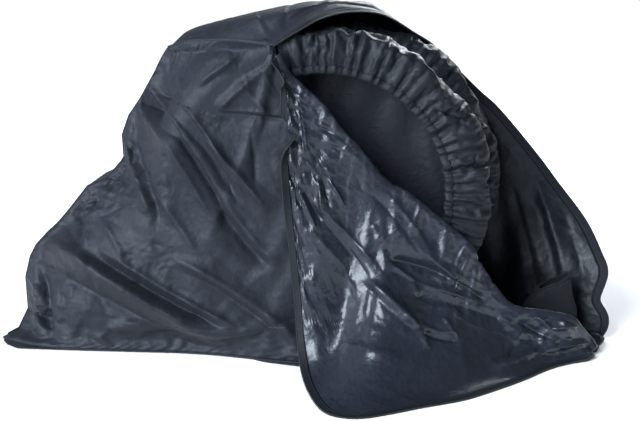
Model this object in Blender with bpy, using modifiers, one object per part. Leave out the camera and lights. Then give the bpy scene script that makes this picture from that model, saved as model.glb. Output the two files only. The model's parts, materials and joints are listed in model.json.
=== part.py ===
"""Bicycle cover: an open cloth travel cover, draped as it lies on a bicycle.

Sizes are in metres. They are set out in floor coordinates: X runs along the
bag, Y away from its near side, Z up from the floor. The last step moves every
piece so that the origin is the point under the top where the cover is held.
"""
import math

import bmesh
import bpy
import numpy as np

for _object in list(bpy.data.objects):
    bpy.data.objects.remove(_object, do_unlink=True)

# ---------------------------------------------------------------- named sizes
CLOTH = 0.002            # thickness of a cloth sheet
TAPE = 0.0026            # thickness of a zip tape with its teeth
TAPE_WIDE = 0.018        # width of one half of the zip tape
HEM = 0.003              # thickness of the elastic hem of a wheel cover
PAD = 0.003              # wall of the padded fork pocket
JOIN = 0.0011            # gap left between two pieces that are sewn together
FLOOR = 0.0035           # height of a wall's lower edge above the floor
FOLD_R = 0.011           # radius of the rolled fold of the door
UNDER_SEAM = np.array([0.0, -0.0018, -0.0042])   # from the top seam to the near panel's edge
HOLD = (0.0, 0.020, 0.7205)      # the point under the top that is held
VIEW = (0.1625, -3.1007, 1.0549)  # point in front from which folds are laid out

# left outline, where the near and the far panel meet: height, x, y
LEFT = [
    (0.0035, -0.690, -0.062), (0.012, -0.662, -0.022), (0.050, -0.645, 0.0),
    (0.122, -0.647, 0.0), (0.168, -0.635, 0.0), (0.196, -0.620, 0.0),
    (0.224, -0.594, 0.0), (0.248, -0.568, 0.0), (0.275, -0.545, 0.0),
    (0.329, -0.502, 0.0), (0.350, -0.457, 0.0), (0.391, -0.421, 0.0),
    (0.442, -0.423, 0.0), (0.483, -0.408, 0.0), (0.522, -0.381, 0.0),
    (0.562, -0.358, 0.0), (0.601, -0.344, 0.0), (0.633, -0.322, 0.0),
]
# crest of the folded-down door, from the right lower corner up: x, y, z
CREST = [
    (0.592, -0.092, 0.016), (0.580, -0.088, 0.034), (0.561, -0.100, 0.058),
    (0.536, -0.110, 0.087), (0.481, -0.125, 0.104), (0.430, -0.138, 0.114),
    (0.401, -0.142, 0.126), (0.372, -0.146, 0.161), (0.338, -0.150, 0.213),
    (0.323, -0.152, 0.246), (0.284, -0.155, 0.284), (0.238, -0.158, 0.322),
    (0.193, -0.160, 0.360), (0.154, -0.160, 0.380), (0.128, -0.160, 0.405),
    (0.105, -0.160, 0.435), (0.079, -0.160, 0.466), (0.051, -0.158, 0.494),
    (0.022, -0.155, 0.534), (-0.020, -0.150, 0.573), (-0.051, -0.144, 0.602),
    (-0.070, -0.146, 0.641),
]
# free edge of the folded-down door, inside its tape, same direction: x, y, z
DOOR = [
    (0.577, -0.124, 0.010), (0.520, -0.150, 0.006), (0.470, -0.188, 0.004),
    (0.405, -0.262, 0.0032), (0.325, -0.340, 0.0032), (0.280, -0.375, 0.0032),
    (0.208, -0.413, 0.0032), (0.150, -0.447, 0.0032), (0.100, -0.470, 0.0032),
    (0.064, -0.466, 0.0032), (0.038, -0.437, 0.0032), (0.014, -0.365, 0.004),
    (-0.004, -0.290, 0.010), (-0.014, -0.246, 0.034), (-0.023, -0.222, 0.090),
    (-0.029, -0.207, 0.161), (-0.038, -0.199, 0.245), (-0.047, -0.194, 0.330),
    (-0.053, -0.188, 0.404), (-0.055, -0.179, 0.496), (-0.057, -0.171, 0.560),
    (-0.068, -0.167, 0.600), (-0.086, -0.165, 0.630),
]
# how far along its free edge the door is met from a share of the crest: share, share
DOOR_SHARE = [
    (0.00, 0.000), (0.05, 0.013), (0.10, 0.032), (0.20, 0.086), (0.30, 0.160),
    (0.41, 0.260), (0.50, 0.345), (0.60, 0.455), (0.70, 0.590), (0.80, 0.745),
    (0.90, 0.890), (0.95, 0.952), (1.00, 1.000),
]
# lower edge of the near panel on the floor: x, y
NEAR_HEM = [
    (-0.690, -0.062), (-0.672, -0.098), (-0.640, -0.126), (-0.500, -0.133),
    (-0.332, -0.137), (-0.194, -0.138), (-0.150, -0.156), (-0.105, -0.186),
    (-0.028, -0.208), (0.060, -0.200), (0.200, -0.176), (0.400, -0.142),
    (0.520, -0.112), (0.592, -0.081),
]
# depth of the near panel above its hem: height, at x -0.45, at x -0.10, at x 0.35
NEAR_WALL = [
    (0.000, -0.140, -0.176, -0.136), (0.100, -0.146, -0.166, -0.132),
    (0.250, -0.150, -0.154, -0.138), (0.400, -0.126, -0.149, -0.148),
    (0.550, -0.100, -0.144, -0.150), (0.660, -0.090, -0.134, -0.150),
]
# top seam of the near panel, from the left outline to the pinch: x, y, z
SEAM = [
    (-0.322, 0.000, 0.633), (-0.275, -0.040, 0.650), (-0.213, -0.066, 0.656),
    (-0.169, -0.088, 0.657), (-0.125, -0.115, 0.656), (-0.089, -0.140, 0.654),
]
# lower edge of the far panel: x, y
FAR_HEM = [
    (-0.690, -0.058), (-0.676, -0.028), (-0.650, 0.022), (-0.610, 0.070),
    (-0.540, 0.110), (-0.450, 0.128), (0.000, 0.133), (0.400, 0.131),
    (0.500, 0.126), (0.565, 0.106), (0.598, 0.072), (0.610, 0.040),
    (0.612, 0.016),
]
# sections of the far panel, left to right: foot_x, wall_y, the ridge (x, y, z),
# the near shoulder (x, y, z), the share of the top seam where the section ends
FAR_SECTIONS = [
    (-0.560, 0.098, -0.287, 0.045, 0.650, -0.281, 0.012, 0.660, 0.15),
    (-0.400, 0.124, -0.205, 0.028, 0.684, -0.203, -0.015, 0.683, 0.40),
    (-0.200, 0.133, -0.120, 0.022, 0.706, -0.134, -0.055, 0.699, 0.63),
    (0.000, 0.135, -0.030, 0.020, 0.724, -0.078, -0.070, 0.710, 0.78),
    (0.180, 0.135, 0.045, 0.020, 0.725, -0.038, -0.060, 0.718, 0.87),
    (0.330, 0.134, 0.100, 0.028, 0.720, -0.006, -0.046, 0.721, 0.94),
]
# free edge of the far panel, inside its tape, from the floor to the pinch: x, y, z
FAR_EDGE = [
    (0.612, 0.016, 0.0035), (0.614, 0.024, 0.040), (0.596, 0.040, 0.078),
    (0.611, 0.048, 0.136), (0.600, 0.068, 0.170), (0.579, 0.092, 0.215),
    (0.556, 0.110, 0.250), (0.509, 0.124, 0.309), (0.459, 0.129, 0.374),
    (0.378, 0.131, 0.469), (0.331, 0.130, 0.512), (0.287, 0.126, 0.556),
    (0.258, 0.121, 0.588), (0.222, 0.104, 0.631), (0.184, 0.076, 0.662),
    (0.155, 0.046, 0.685), (0.122, 0.016, 0.706), (0.086, -0.020, 0.717),
    (0.040, -0.050, 0.717), (-0.004, -0.090, 0.708), (-0.034, -0.120, 0.692),
    (-0.062, -0.134, 0.674), (-0.089, -0.140, 0.656),
]
# folds of the near panel, seen on the upright mid plane:
# x0, z0, x1, z1, bow, width, lift (a lift below zero is a trough)
NEAR_FOLDS = [
    (-0.600, 0.200, -0.160, 0.010, -0.020, 0.034, 0.022),
    (-0.600, 0.130, -0.600, 0.010, 0.004, 0.022, -0.010),
    (-0.360, 0.500, -0.200, 0.280, 0.012, 0.030, 0.011),
    (-0.250, 0.430, -0.100, 0.290, 0.006, 0.028, 0.009),
    (-0.300, 0.160, -0.045, 0.010, 0.010, 0.028, 0.012),
    (-0.420, 0.420, -0.370, 0.220, -0.010, 0.028, 0.009),
    (-0.330, 0.520, -0.100, 0.480, -0.006, 0.024, -0.007),
    (-0.220, 0.270, -0.120, 0.150, 0.000, 0.026, -0.008),
]
# folds of the folded-down door, laid out in the same way
DOOR_FOLDS = [
    (-0.010, 0.250, 0.110, 0.100, -0.006, 0.026, -0.013),
    (0.010, 0.290, 0.220, 0.010, -0.012, 0.026, 0.013),
    (0.130, 0.300, 0.320, 0.110, -0.012, 0.026, 0.012),
    (0.150, 0.160, 0.330, 0.090, 0.012, 0.026, -0.012),
    (0.380, -0.070, 0.560, 0.020, -0.010, 0.026, 0.009),
]
# folds of the far panel, laid out on its own upright plane
FAR_FOLDS = [
    (-0.560, 0.250, -0.500, 0.020, 0.010, 0.026, 0.010),
    (-0.400, 0.420, -0.330, 0.060, -0.012, 0.028, 0.010),
    (-0.210, 0.560, -0.170, 0.150, 0.012, 0.028, -0.008),
    (0.140, 0.560, 0.190, 0.120, -0.010, 0.028, 0.008),
    (0.330, 0.460, 0.420, 0.080, 0.012, 0.030, 0.010),
    (0.470, 0.300, 0.560, 0.060, -0.010, 0.024, 0.008),
]
# section of a wheel cover: radius, depth from its back, thickness
WHEEL_SECTION = [
    (0.120, 0.000, CLOTH), (0.250, 0.002, CLOTH), (0.318, 0.000, CLOTH),
    (0.336, 0.010, CLOTH), (0.3445, 0.034, CLOTH), (0.340, 0.056, CLOTH),
    (0.326, 0.069, CLOTH), (0.302, 0.076, CLOTH), (0.276, 0.078, HEM),
    (0.258, 0.076, HEM),
]
WHEELS = [  # name, centre x, back y, centre height, flattening of the top
    ("near_wheel_cover", 0.012, -0.048, 0.3478, 0.014),
    ("far_wheel_cover", 0.036, 0.098, 0.3478, 0.006),
]
GATHERS = 24             # pleats drawn up by a wheel cover's elastic
# sections of the fork pocket: height, low x, high x, half depth, slant
POCKET = [
    (0.012, 0.444, 0.554, 0.026, 0.000), (0.040, 0.439, 0.556, 0.028, 0.000),
    (0.066, 0.440, 0.554, 0.028, 0.003), (0.092, 0.449, 0.547, 0.026, 0.008),
    (0.112, 0.462, 0.542, 0.024, 0.013), (0.128, 0.474, 0.537, 0.022, 0.017),
]
POCKET_Y = 0.004         # the pocket's middle, across the bag
SLIDER = (0.011, 0.006, 0.017)   # zip slider: width, depth, height
SLIDER_TAPER = 0.62      # width of the slider's lower end, as a share of its upper end
SLIDER_EDGE = 0.0012     # rounding of the slider's edges


# colour, roughness and metallic value of each slot
SLOTS = {
    "cloth": ((0.040, 0.047, 0.065), 0.62, 0.0),
    "zip_tape": ((0.022, 0.026, 0.036), 0.75, 0.0),
    "cover_cloth": ((0.030, 0.034, 0.046), 0.58, 0.0),
    "pad": ((0.012, 0.013, 0.017), 0.85, 0.0),
    "slider_metal": ((0.35, 0.36, 0.38), 0.35, 0.9),
}

collection = bpy.data.collections.new("bicycle_cover")
bpy.context.scene.collection.children.link(collection)
carrier = bpy.data.objects.new("held_point", None)
collection.objects.link(carrier)
carrier.location = (-HOLD[0], -HOLD[1], -HOLD[2])


# ------------------------------------------------------------------ functions
def ease(t):
    t = np.clip(t, 0.0, 1.0)
    return t * t * (3.0 - 2.0 * t)


def look(table, key, column):
    rows = np.asarray(table, float)
    return np.interp(key, rows[:, 0], rows[:, column])


def spline(points, count, keys=None):
    """Smooth curve through the rows, evenly spaced along its length."""
    p = np.asarray(points, float)
    if keys is None:
        d = np.linalg.norm(np.diff(p, axis=0), axis=1)
        keys = np.concatenate([[0.0], np.cumsum(d)])
        keys = keys / keys[-1]
    q = np.vstack([2 * p[0] - p[1], p, 2 * p[-1] - p[-2]])
    t = np.linspace(0.0, 1.0, count) if np.isscalar(count) else np.asarray(count)
    i = np.clip(np.searchsorted(keys, t, side="right") - 1, 0, len(p) - 2)
    f = ((t - keys[i]) / (keys[i + 1] - keys[i]))[:, None]
    a, b, c, d = q[i], q[i + 1], q[i + 2], q[i + 3]
    return 0.5 * (2 * b + (c - a) * f + (2 * a - 5 * b + 4 * c - d) * f ** 2
                  + (3 * b - a - 3 * c + d) * f ** 3)


def normals(p, closed=False):
    """Unit normals of a grid of points, rows by columns."""
    if closed:
        du = np.roll(p, -1, axis=1) - np.roll(p, 1, axis=1)
    else:
        du = np.gradient(p, axis=1)
    dv = np.gradient(p, axis=0)
    n = np.cross(du, dv)
    return n / np.maximum(np.linalg.norm(n, axis=2, keepdims=True), 1e-12)


def on_mid_plane(p):
    """Where a point is seen on the upright plane through the ridge."""
    k = (-VIEW[1]) / (p[..., 1] - VIEW[1])
    return (VIEW[0] + (p[..., 0] - VIEW[0]) * k,
            VIEW[2] + (p[..., 2] - VIEW[2]) * k)


def fold_lift(x, z, folds):
    total = np.zeros_like(x)
    for x0, z0, x1, z1, bow, width, lift in folds:
        dx, dz = x1 - x0, z1 - z0
        length = math.hypot(dx, dz)
        t = ((x - x0) * dx + (z - z0) * dz) / length ** 2
        off = ((x - x0) * -dz + (z - z0) * dx) / length
        off = off - bow * 4.0 * t * (1.0 - t)
        ends = ease((t + 0.08) / 0.25) * ease((1.08 - t) / 0.25)
        total += lift * ends * np.exp(-(off / width) ** 2)
    return total


def material(slot):
    """Principled material of one slot, with its plain colour and roughness."""
    found = bpy.data.materials.get(slot)
    if found:
        return found
    colour, rough, metal = SLOTS[slot]
    made = bpy.data.materials.new(slot)
    made.use_nodes = True
    shader = made.node_tree.nodes["Principled BSDF"]
    shader.inputs["Base Color"].default_value = colour + (1.0,)
    shader.inputs["Roughness"].default_value = rough
    shader.inputs["Metallic"].default_value = metal
    made.diffuse_color = colour + (1.0,)
    return made


def put(name, verts, faces, slot):
    """An object of one node, placed under the empty that carries the cover."""
    mesh = bpy.data.meshes.new(name)
    mesh.from_pydata([tuple(float(c) for c in v) for v in verts], [], faces)
    mesh.materials.append(material(slot))
    ob = bpy.data.objects.new(name, mesh)
    collection.objects.link(ob)
    ob.parent = carrier
    return ob


def sheet(name, p, thick, slot, closed=False, pole=False):
    """A cloth sheet: the loft through a grid of points, made solid."""
    rows, cols = p.shape[:2]
    verts = list(p.reshape(-1, 3))
    faces = []
    last = cols if closed else cols - 1
    # each cell is cut along its shorter diagonal
    turned = np.roll(p, -1, axis=1)
    short = np.linalg.norm(p[:-1] - turned[1:], axis=2) <= np.linalg.norm(turned[:-1] - p[1:], axis=2)
    for j in range(rows - 1):
        for i in range(last):
            a, b = j * cols + i, j * cols + (i + 1) % cols
            c, d = b + cols, a + cols
            faces += [(a, b, c), (a, c, d)] if short[j, i] else [(a, b, d), (b, c, d)]
    if pole:
        verts.append(p[0].mean(axis=0))
        faces += [((i + 1) % cols, i, rows * cols) for i in range(cols)]
    ob = put(name, verts, faces, slot)
    solid = ob.modifiers.new("thickness", "SOLIDIFY")
    solid.offset = 0.0
    solid.use_even_offset = False
    if np.isscalar(thick):
        solid.thickness = thick
    else:
        solid.thickness = max(thick)
        group = ob.vertex_groups.new(name="thickness")
        for j, value in enumerate(thick):
            group.add(list(range(j * cols, (j + 1) * cols)), value / max(thick), "REPLACE")
        if pole:
            group.add([rows * cols], thick[0] / max(thick), "REPLACE")
        solid.vertex_group = "thickness"
    return ob


def tape_along(name, panel, wide):
    """Zip tape along the last column of a panel, in line with its cloth."""
    edge, normal = panel[:, -1], normals(panel)[:, -1]
    out = 1.5 * edge - 2.0 * panel[:, -2] + 0.5 * panel[:, -3]
    along = np.gradient(edge, axis=0)
    along = along / np.linalg.norm(along, axis=1, keepdims=True)
    out = out - along * np.sum(out * along, axis=1, keepdims=True)
    out = out - normal * np.sum(out * normal, axis=1, keepdims=True)
    out = out / np.linalg.norm(out, axis=1, keepdims=True)
    soft = soften(out, 1)
    soft = soft - along * np.sum(soft * along, axis=1, keepdims=True)
    soft = soft / np.linalg.norm(soft, axis=1, keepdims=True)
    lift = np.maximum(0.0, TAPE / 2 + 0.0006 - (edge + soft * wide[:, None])[:, 2])
    soft[:, 2] += lift / wide
    soft = soft / np.linalg.norm(soft, axis=1, keepdims=True)
    first = edge + out * JOIN
    p = np.stack([first, first + soft * wide[:, None] / 2, first + soft * wide[:, None]])
    return sheet(name, p, TAPE, "zip_tape")


def soften(rows, times):
    """Even out a run of directions."""
    r = np.array(rows, float)
    for _ in range(times):
        r[1:-1] = 0.25 * r[:-2] + 0.5 * r[1:-1] + 0.25 * r[2:]
        r = r / np.linalg.norm(r, axis=1, keepdims=True)
    return r


# ---------------------------------------------------------------- near panel
def near_panel(v, left_cols, bend_cols, flap_cols):
    """Middle surface of the near panel, of the rolled fold and of the door."""
    rows = len(v)
    crest = spline(CREST, v)
    met = np.convolve(np.pad(look(DOOR_SHARE, np.linspace(0, 1, 201), 1), 8, mode="reflect",
                             reflect_type="odd"), np.ones(17) / 17, mode="valid")
    door = spline(DOOR, np.interp(v, np.linspace(0, 1, 201), met))
    left_z = FLOOR + (crest[:, 2] - CREST[0][2]) * (LEFT[-1][0] - FLOOR) / (CREST[-1][2] - CREST[0][2])
    left = np.stack([look(LEFT, left_z, 1), look(LEFT, left_z, 2) - 0.0012, left_z], axis=1)
    left += ease((left_z - 0.575) / 0.045)[:, None] * np.array([0.0030, -0.0030, -0.0030])
    # direction across the fold, upwards and to the right
    along = np.gradient(crest, axis=0)
    across = np.stack([along[:, 2], np.zeros(rows), -along[:, 0]], axis=1)
    across = soften(across / np.linalg.norm(across, axis=1, keepdims=True), 3)
    near_end = crest - across * FOLD_R + np.array([0, FOLD_R, 0])
    s = np.linspace(0.0, 1.0, left_cols)
    s = 0.35 * s ** 2 + 0.65 * s
    wall = np.zeros((rows, left_cols, 3))
    x = left[:, 0:1] + (near_end[:, 0:1] - left[:, 0:1]) * s
    z = left[:, 2:3] + (near_end[:, 2:3] - left[:, 2:3]) * s
    z[0] = FLOOR + (near_end[0, 2] - FLOOR) * ease((s - 0.93) / 0.07)
    hem_y = look(NEAR_HEM, x, 1)
    station = ((x + 0.45) / 0.35, (x + 0.10) / 0.45)
    a, b, c = (look(NEAR_WALL, z, k) for k in (1, 2, 3))
    wall_y = np.where(x < -0.10, a + (b - a) * ease(station[0]), b + (c - b) * ease(station[1]))
    y = hem_y + (wall_y - hem_y) * ease((z - FLOOR) / 0.11)
    reach = x - left[:, 0:1]
    width = 0.050 + 0.055 * ease(z / 0.30)
    round_off = 1.0 - np.exp(-(reach / width) ** 1.25)
    y = left[:, 1:2] + (y - left[:, 1:2]) * round_off
    end = ease((s - 0.62) / 0.38)
    y = y + (near_end[:, 1:2] - y[:, -1:]) * end
    # the cloth is drawn over the wheel cover that stands behind it
    r = np.hypot(x - WHEELS[0][1], z - WHEELS[0][3])
    r = r + WHEELS[0][4] * np.maximum(0.0, (z - WHEELS[0][3]) / np.maximum(r, 0.05)) ** 2
    drum = -0.066 - 0.073 * np.sqrt(np.clip(1.0 - (np.maximum(0.0, r - 0.310) / 0.056) ** 2, 0, 1))
    drum = np.where(r < 0.366, drum, 0.0)
    for _ in range(int(6 * (left_cols / 25.0) ** 2)):
        y = np.minimum(y, drum)
        y[:, 1:-1] = 0.25 * y[:, :-2] + 0.5 * y[:, 1:-1] + 0.25 * y[:, 2:]
    y = np.minimum(y, drum)
    # the last rows run into the top seam
    top = spline(SEAM + [near_end[-1] - UNDER_SEAM], left_cols) + UNDER_SEAM
    top[0] = left[-1]
    top[1] = 0.5 * (top[0] + top[2])
    top[-1] = near_end[-1]
    w = ease((v - 0.86) / 0.14)[:, None]
    x = x + (top[None, :, 0] - x) * w
    y = y + (top[None, :, 1] - y) * w
    z = z + (top[None, :, 2] - z) * w
    y[v < 0.98] = np.minimum(y, drum + 0.002)[v < 0.98]
    wall[:, :, 0], wall[:, :, 1], wall[:, :, 2] = x, y, z
    mx, mz = on_mid_plane(wall)
    guard = ease(reach / 0.05) * ease((z - FLOOR) / 0.02) * (1 - w) * (1 - ease((s - 0.9) / 0.1))
    wall[:, :, 1] -= fold_lift(mx, mz, NEAR_FOLDS) * guard
    # the roll of the fold
    bend = []
    for k in range(1, bend_cols + 1):
        angle = math.pi * k / bend_cols
        bend.append(crest + across * FOLD_R * (math.sin(angle) - 1.0)
                    + np.array([0, FOLD_R * math.cos(angle), 0]))
    start = bend[-1]
    # the door hangs from the fold and spreads on the floor
    span = door - start
    size = np.linalg.norm(span, axis=1, keepdims=True)
    lying = 1.0 - ease((door[:, 2:3] - 0.012) / 0.075)
    handle1 = start - across * size * 0.24 + np.array([0, -0.05, -0.04]) * size
    inward = -span / size
    flat = np.concatenate([inward[:, 0:1], inward[:, 1:2], inward[:, 2:3] * 0.06], axis=1)
    flat = flat / np.linalg.norm(flat, axis=1, keepdims=True)
    side = np.concatenate([inward[:, 0:1], inward[:, 1:2] - 0.22, inward[:, 2:3] * 0.7], axis=1)
    inward = flat * lying + side * (1 - lying)
    inward = inward / np.linalg.norm(inward, axis=1, keepdims=True)
    handle2 = door + inward * size * 0.40
    flap = []
    for k in range(1, flap_cols + 1):
        t = k / flap_cols
        flap.append(start * (1 - t) ** 3 + handle1 * 3 * t * (1 - t) ** 2
                    + handle2 * 3 * t ** 2 * (1 - t) + door * t ** 3)
    grid = np.concatenate([wall, np.stack(bend + flap, axis=1)], axis=1)
    first = left_cols + bend_cols
    part = grid[:, first - 1:]
    mx, mz = on_mid_plane(part)
    t = np.linspace(0, 1, part.shape[1])[None, :]
    guard = ease(t / 0.12) * ease((1 - t) / 0.15)
    guard = guard * ease(v / 0.10)[:, None] * ease((1 - v) / 0.10)[:, None]
    n = normals(part)
    n = n * np.where(n[..., 1:2] - 0.6 * n[..., 2:3] > 0, -1.0, 1.0)
    part = part + n * (fold_lift(mx, mz, DOOR_FOLDS) * guard)[..., None]
    part[..., 2] = np.maximum(part[..., 2], 0.0030)
    grid[:, first:] = part[:, 1:]
    return grid


V = np.linspace(0, 1, 33)
NEAR = near_panel(V, 25, 4, 15)
sheet("front_panel", NEAR, CLOTH, "cloth")

wide = TAPE_WIDE * (0.55 + 0.45 * ease(V / 0.06)) * (0.45 + 0.55 * ease((1 - V) / 0.08))
tape_along("door_zip_tape", NEAR, wide)


# ----------------------------------------------------------------- far panel
def far_panel(u, v):
    """Middle surface of the panel that goes up the far side and over the top."""
    def outline(height):
        low = 1.0 - ease((height - 0.03) / 0.03)
        return np.stack([look(LEFT, height, 1) + 0.003 * low,
                         look(LEFT, height, 2) + 0.0014 + 0.0060 * low, height], axis=1)

    levels = 9
    heights = np.array([FLOOR, 0.12, 0.26, 0.39, 0.48, 0.53, 0.57, 0.603, 0.633])
    columns = [outline(heights)]
    for foot_x, wall_y, rx, ry, rz, sx, sy, sz, share in FAR_SECTIONS:
        column = [(foot_x, float(look(FAR_HEM, foot_x, 1)), FLOOR)]
        for part, height, inset in ((0.12, 0.12, -0.002), (0.35, 0.30, -0.004),
                                    (0.60, 0.48, -0.001), (0.84, 0.63, 0.006)):
            column.append((foot_x + (rx - foot_x) * part, wall_y - inset, height * rz / 0.724))
        column.append((foot_x + (rx - foot_x) * 0.95, wall_y + (ry - wall_y) * 0.22, rz - 0.022))
        column += [(rx, ry, rz), (sx, sy, sz)]
        column.append(tuple(spline(SEAM, [share])[0]))
        columns.append(column)
    edge = np.asarray(FAR_EDGE)
    d = np.concatenate([[0], np.cumsum(np.linalg.norm(np.diff(edge, axis=0), axis=1))])
    d = d / d[-1]
    edge_levels = np.array([0.0, 0.105, 0.235, 0.37, 0.50, 0.61, 0.715, 0.87, 1.0])
    columns.append(spline(edge, edge_levels, d))
    net = np.asarray([np.asarray(c, float) for c in columns])       # station, level
    lengths = np.linalg.norm(np.diff(net[:, 2:6].mean(axis=1), axis=0), axis=1) \
        + 0.5 * np.linalg.norm(np.diff(net[:, 0], axis=0), axis=1)
    keys = np.concatenate([[0], np.cumsum(lengths)])
    keys = keys / keys[-1]
    rows = np.stack([spline(net[:, k], u, keys) for k in range(levels)])     # level, u
    level_keys = np.array([0, 0.15, 0.32, 0.49, 0.64, 0.73, 0.81, 0.91, 1.0])
    grid = np.stack([spline(rows[:, i], v, level_keys) for i in range(len(u))], axis=1)
    # the boundaries follow their tables exactly
    exact = outline(grid[:, 0, 2])
    grid += (exact - grid[:, 0])[:, None, :] * (1 - ease(u / 0.22))[None, :, None]
    exact = spline(edge, np.interp(v, level_keys, edge_levels), d)
    grid += (exact - grid[:, -1])[:, None, :] * ease((u - 0.80) / 0.20)[None, :, None]
    share = np.interp(u, keys, [0.0] + [row[-1] for row in FAR_SECTIONS] + [1.0])
    exact = spline(SEAM, share) + np.array([0, 0.0004, 0.0016])
    exact[0] = grid[-1, 0]
    grid += (exact - grid[-1])[None, :, :] * ease((v - 0.88) / 0.12)[:, None, None]
    grid[0, :, 2] = FLOOR
    grid[0, :, 1] = np.where(u < 0.02, grid[0, :, 1], look(FAR_HEM, grid[0, :, 0], 1))
    fade = ease(u / 0.08)[None, :] * ease((1 - u) / 0.08)[None, :] \
        * ease(v / 0.05)[:, None] * ease((0.66 - v) / 0.08)[:, None]
    grid[..., 1] += fold_lift(grid[..., 0], grid[..., 2], FAR_FOLDS) * fade
    return grid


U = np.linspace(0, 1, 40)
VF = np.linspace(0, 1, 29)
FAR = far_panel(U, VF)
sheet("back_panel", FAR, CLOTH, "cloth")
RUN = VF[::-1]
wide = TAPE_WIDE * (0.35 + 0.65 * ease((1 - RUN) / 0.08))[::-1]
tape_along("back_zip_tape", FAR, wide)

# ---------------------------------------------------------------- base panel
xs = np.concatenate([np.linspace(-0.683, -0.60, 7), np.linspace(-0.56, 0.52, 22),
                     np.linspace(0.55, 0.588, 4)])
near_y = look(NEAR_HEM, xs, 1) - 0.001
far_y = look(FAR_HEM, xs, 1) + 0.001
base = np.stack([np.stack([xs, near_y + (far_y - near_y) * k / 3, np.full_like(xs, CLOTH / 2)], axis=1)
                 for k in range(4)])
sheet("base_panel", base, CLOTH, "cloth")

# -------------------------------------------------------------- wheel covers
angles = np.arange(2 * GATHERS) * math.pi / GATHERS
for name, centre_x, back_y, centre_z, flat_top in WHEELS:
    rings, thick = [], []
    for radius, depth, t in WHEEL_SECTION:
        pleat = 0.0024 * ease((depth - 0.05) / 0.02) * np.cos(angles * GATHERS)
        trim = flat_top * np.maximum(0.0, np.sin(angles)) ** 2 * ease((radius - 0.2) / 0.12)
        r = radius - trim + 0.4 * pleat
        rings.append(np.stack([centre_x + r * np.cos(angles),
                               np.full_like(angles, back_y) - depth - pleat,
                               centre_z + r * np.sin(angles)], axis=1))
        thick.append(t)
    sheet(name, np.stack(rings), thick, "cover_cloth", closed=True, pole=True)

# --------------------------------------------------------------- fork pocket
angles = np.arange(28) * 2 * math.pi / 28
rings = []
bottom = POCKET[0]
for share in (0.35, 0.8):
    rings.append((0.0042, bottom[1], bottom[2], bottom[3], 0.0, share))
for row in POCKET:
    rings.append(row + (1.0,))
grid = []
for height, low_x, high_x, half_depth, slant, share in rings:
    cx, half = (low_x + high_x) / 2, (high_x - low_x) / 2
    cosine, sine = np.cos(angles), np.sin(angles)
    px = np.sign(cosine) * np.abs(cosine) ** 0.72
    py = np.sign(sine) * np.abs(sine) ** 0.72
    grid.append(np.stack([cx + half * share * px, POCKET_Y + half_depth * share * py,
                          height + slant * cosine], axis=1))
sheet("fork_pocket", np.stack(grid), PAD, "pad", closed=True, pole=True)

# ---------------------------------------------------------------- zip slider
mesh = bpy.data.meshes.new("zip_slider")
bm = bmesh.new()
bmesh.ops.create_cube(bm, size=1.0)
bmesh.ops.scale(bm, vec=SLIDER, verts=bm.verts)
low = [v for v in bm.verts if v.co.z < 0]
bmesh.ops.scale(bm, vec=(SLIDER_TAPER, 1.0, 1.0), verts=low)
bm.to_mesh(mesh)
bm.free()
mesh.materials.append(material("slider_metal"))
slider = bpy.data.objects.new("zip_slider", mesh)
collection.objects.link(slider)
slider.parent = carrier
slider.location = (SEAM[-1][0] - 0.002, SEAM[-1][1] - 0.0085, SEAM[-1][2] - 0.004)
edges = slider.modifiers.new("edges", "BEVEL")
edges.width = SLIDER_EDGE
edges.segments = 2
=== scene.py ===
"""Bicycle cover: its looks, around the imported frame.

Single sizes are in metres and tables in millimetres, in floor coordinates: X
runs along the bag, Y away from its near side, Z up from the floor. to_frame()
moves points to the frame's origin, the point under the top where the cover is held.
"""
import json
import math

import bmesh
import bpy
import numpy as np
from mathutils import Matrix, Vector
from mathutils.bvhtree import BVHTree

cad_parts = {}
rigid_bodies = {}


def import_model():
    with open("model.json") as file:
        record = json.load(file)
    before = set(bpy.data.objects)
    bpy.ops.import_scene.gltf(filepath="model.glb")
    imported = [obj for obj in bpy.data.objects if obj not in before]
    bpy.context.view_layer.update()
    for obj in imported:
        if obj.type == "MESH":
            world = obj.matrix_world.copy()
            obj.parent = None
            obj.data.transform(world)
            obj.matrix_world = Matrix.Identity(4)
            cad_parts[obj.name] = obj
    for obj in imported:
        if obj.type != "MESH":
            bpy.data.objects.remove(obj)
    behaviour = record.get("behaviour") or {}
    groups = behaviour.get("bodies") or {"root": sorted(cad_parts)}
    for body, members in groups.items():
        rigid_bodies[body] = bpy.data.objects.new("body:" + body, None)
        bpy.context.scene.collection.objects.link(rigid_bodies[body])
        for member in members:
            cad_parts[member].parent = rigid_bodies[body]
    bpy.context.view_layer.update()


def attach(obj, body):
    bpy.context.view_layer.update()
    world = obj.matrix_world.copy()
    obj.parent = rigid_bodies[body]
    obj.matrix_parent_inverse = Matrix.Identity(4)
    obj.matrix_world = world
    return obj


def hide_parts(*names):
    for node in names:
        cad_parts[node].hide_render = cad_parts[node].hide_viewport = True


for _object in list(bpy.data.objects):
    bpy.data.objects.remove(_object, do_unlink=True)
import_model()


def mm(rows):
    """A table in millimetres, as an array in metres."""
    return np.array(rows) / 1000.0


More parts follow.
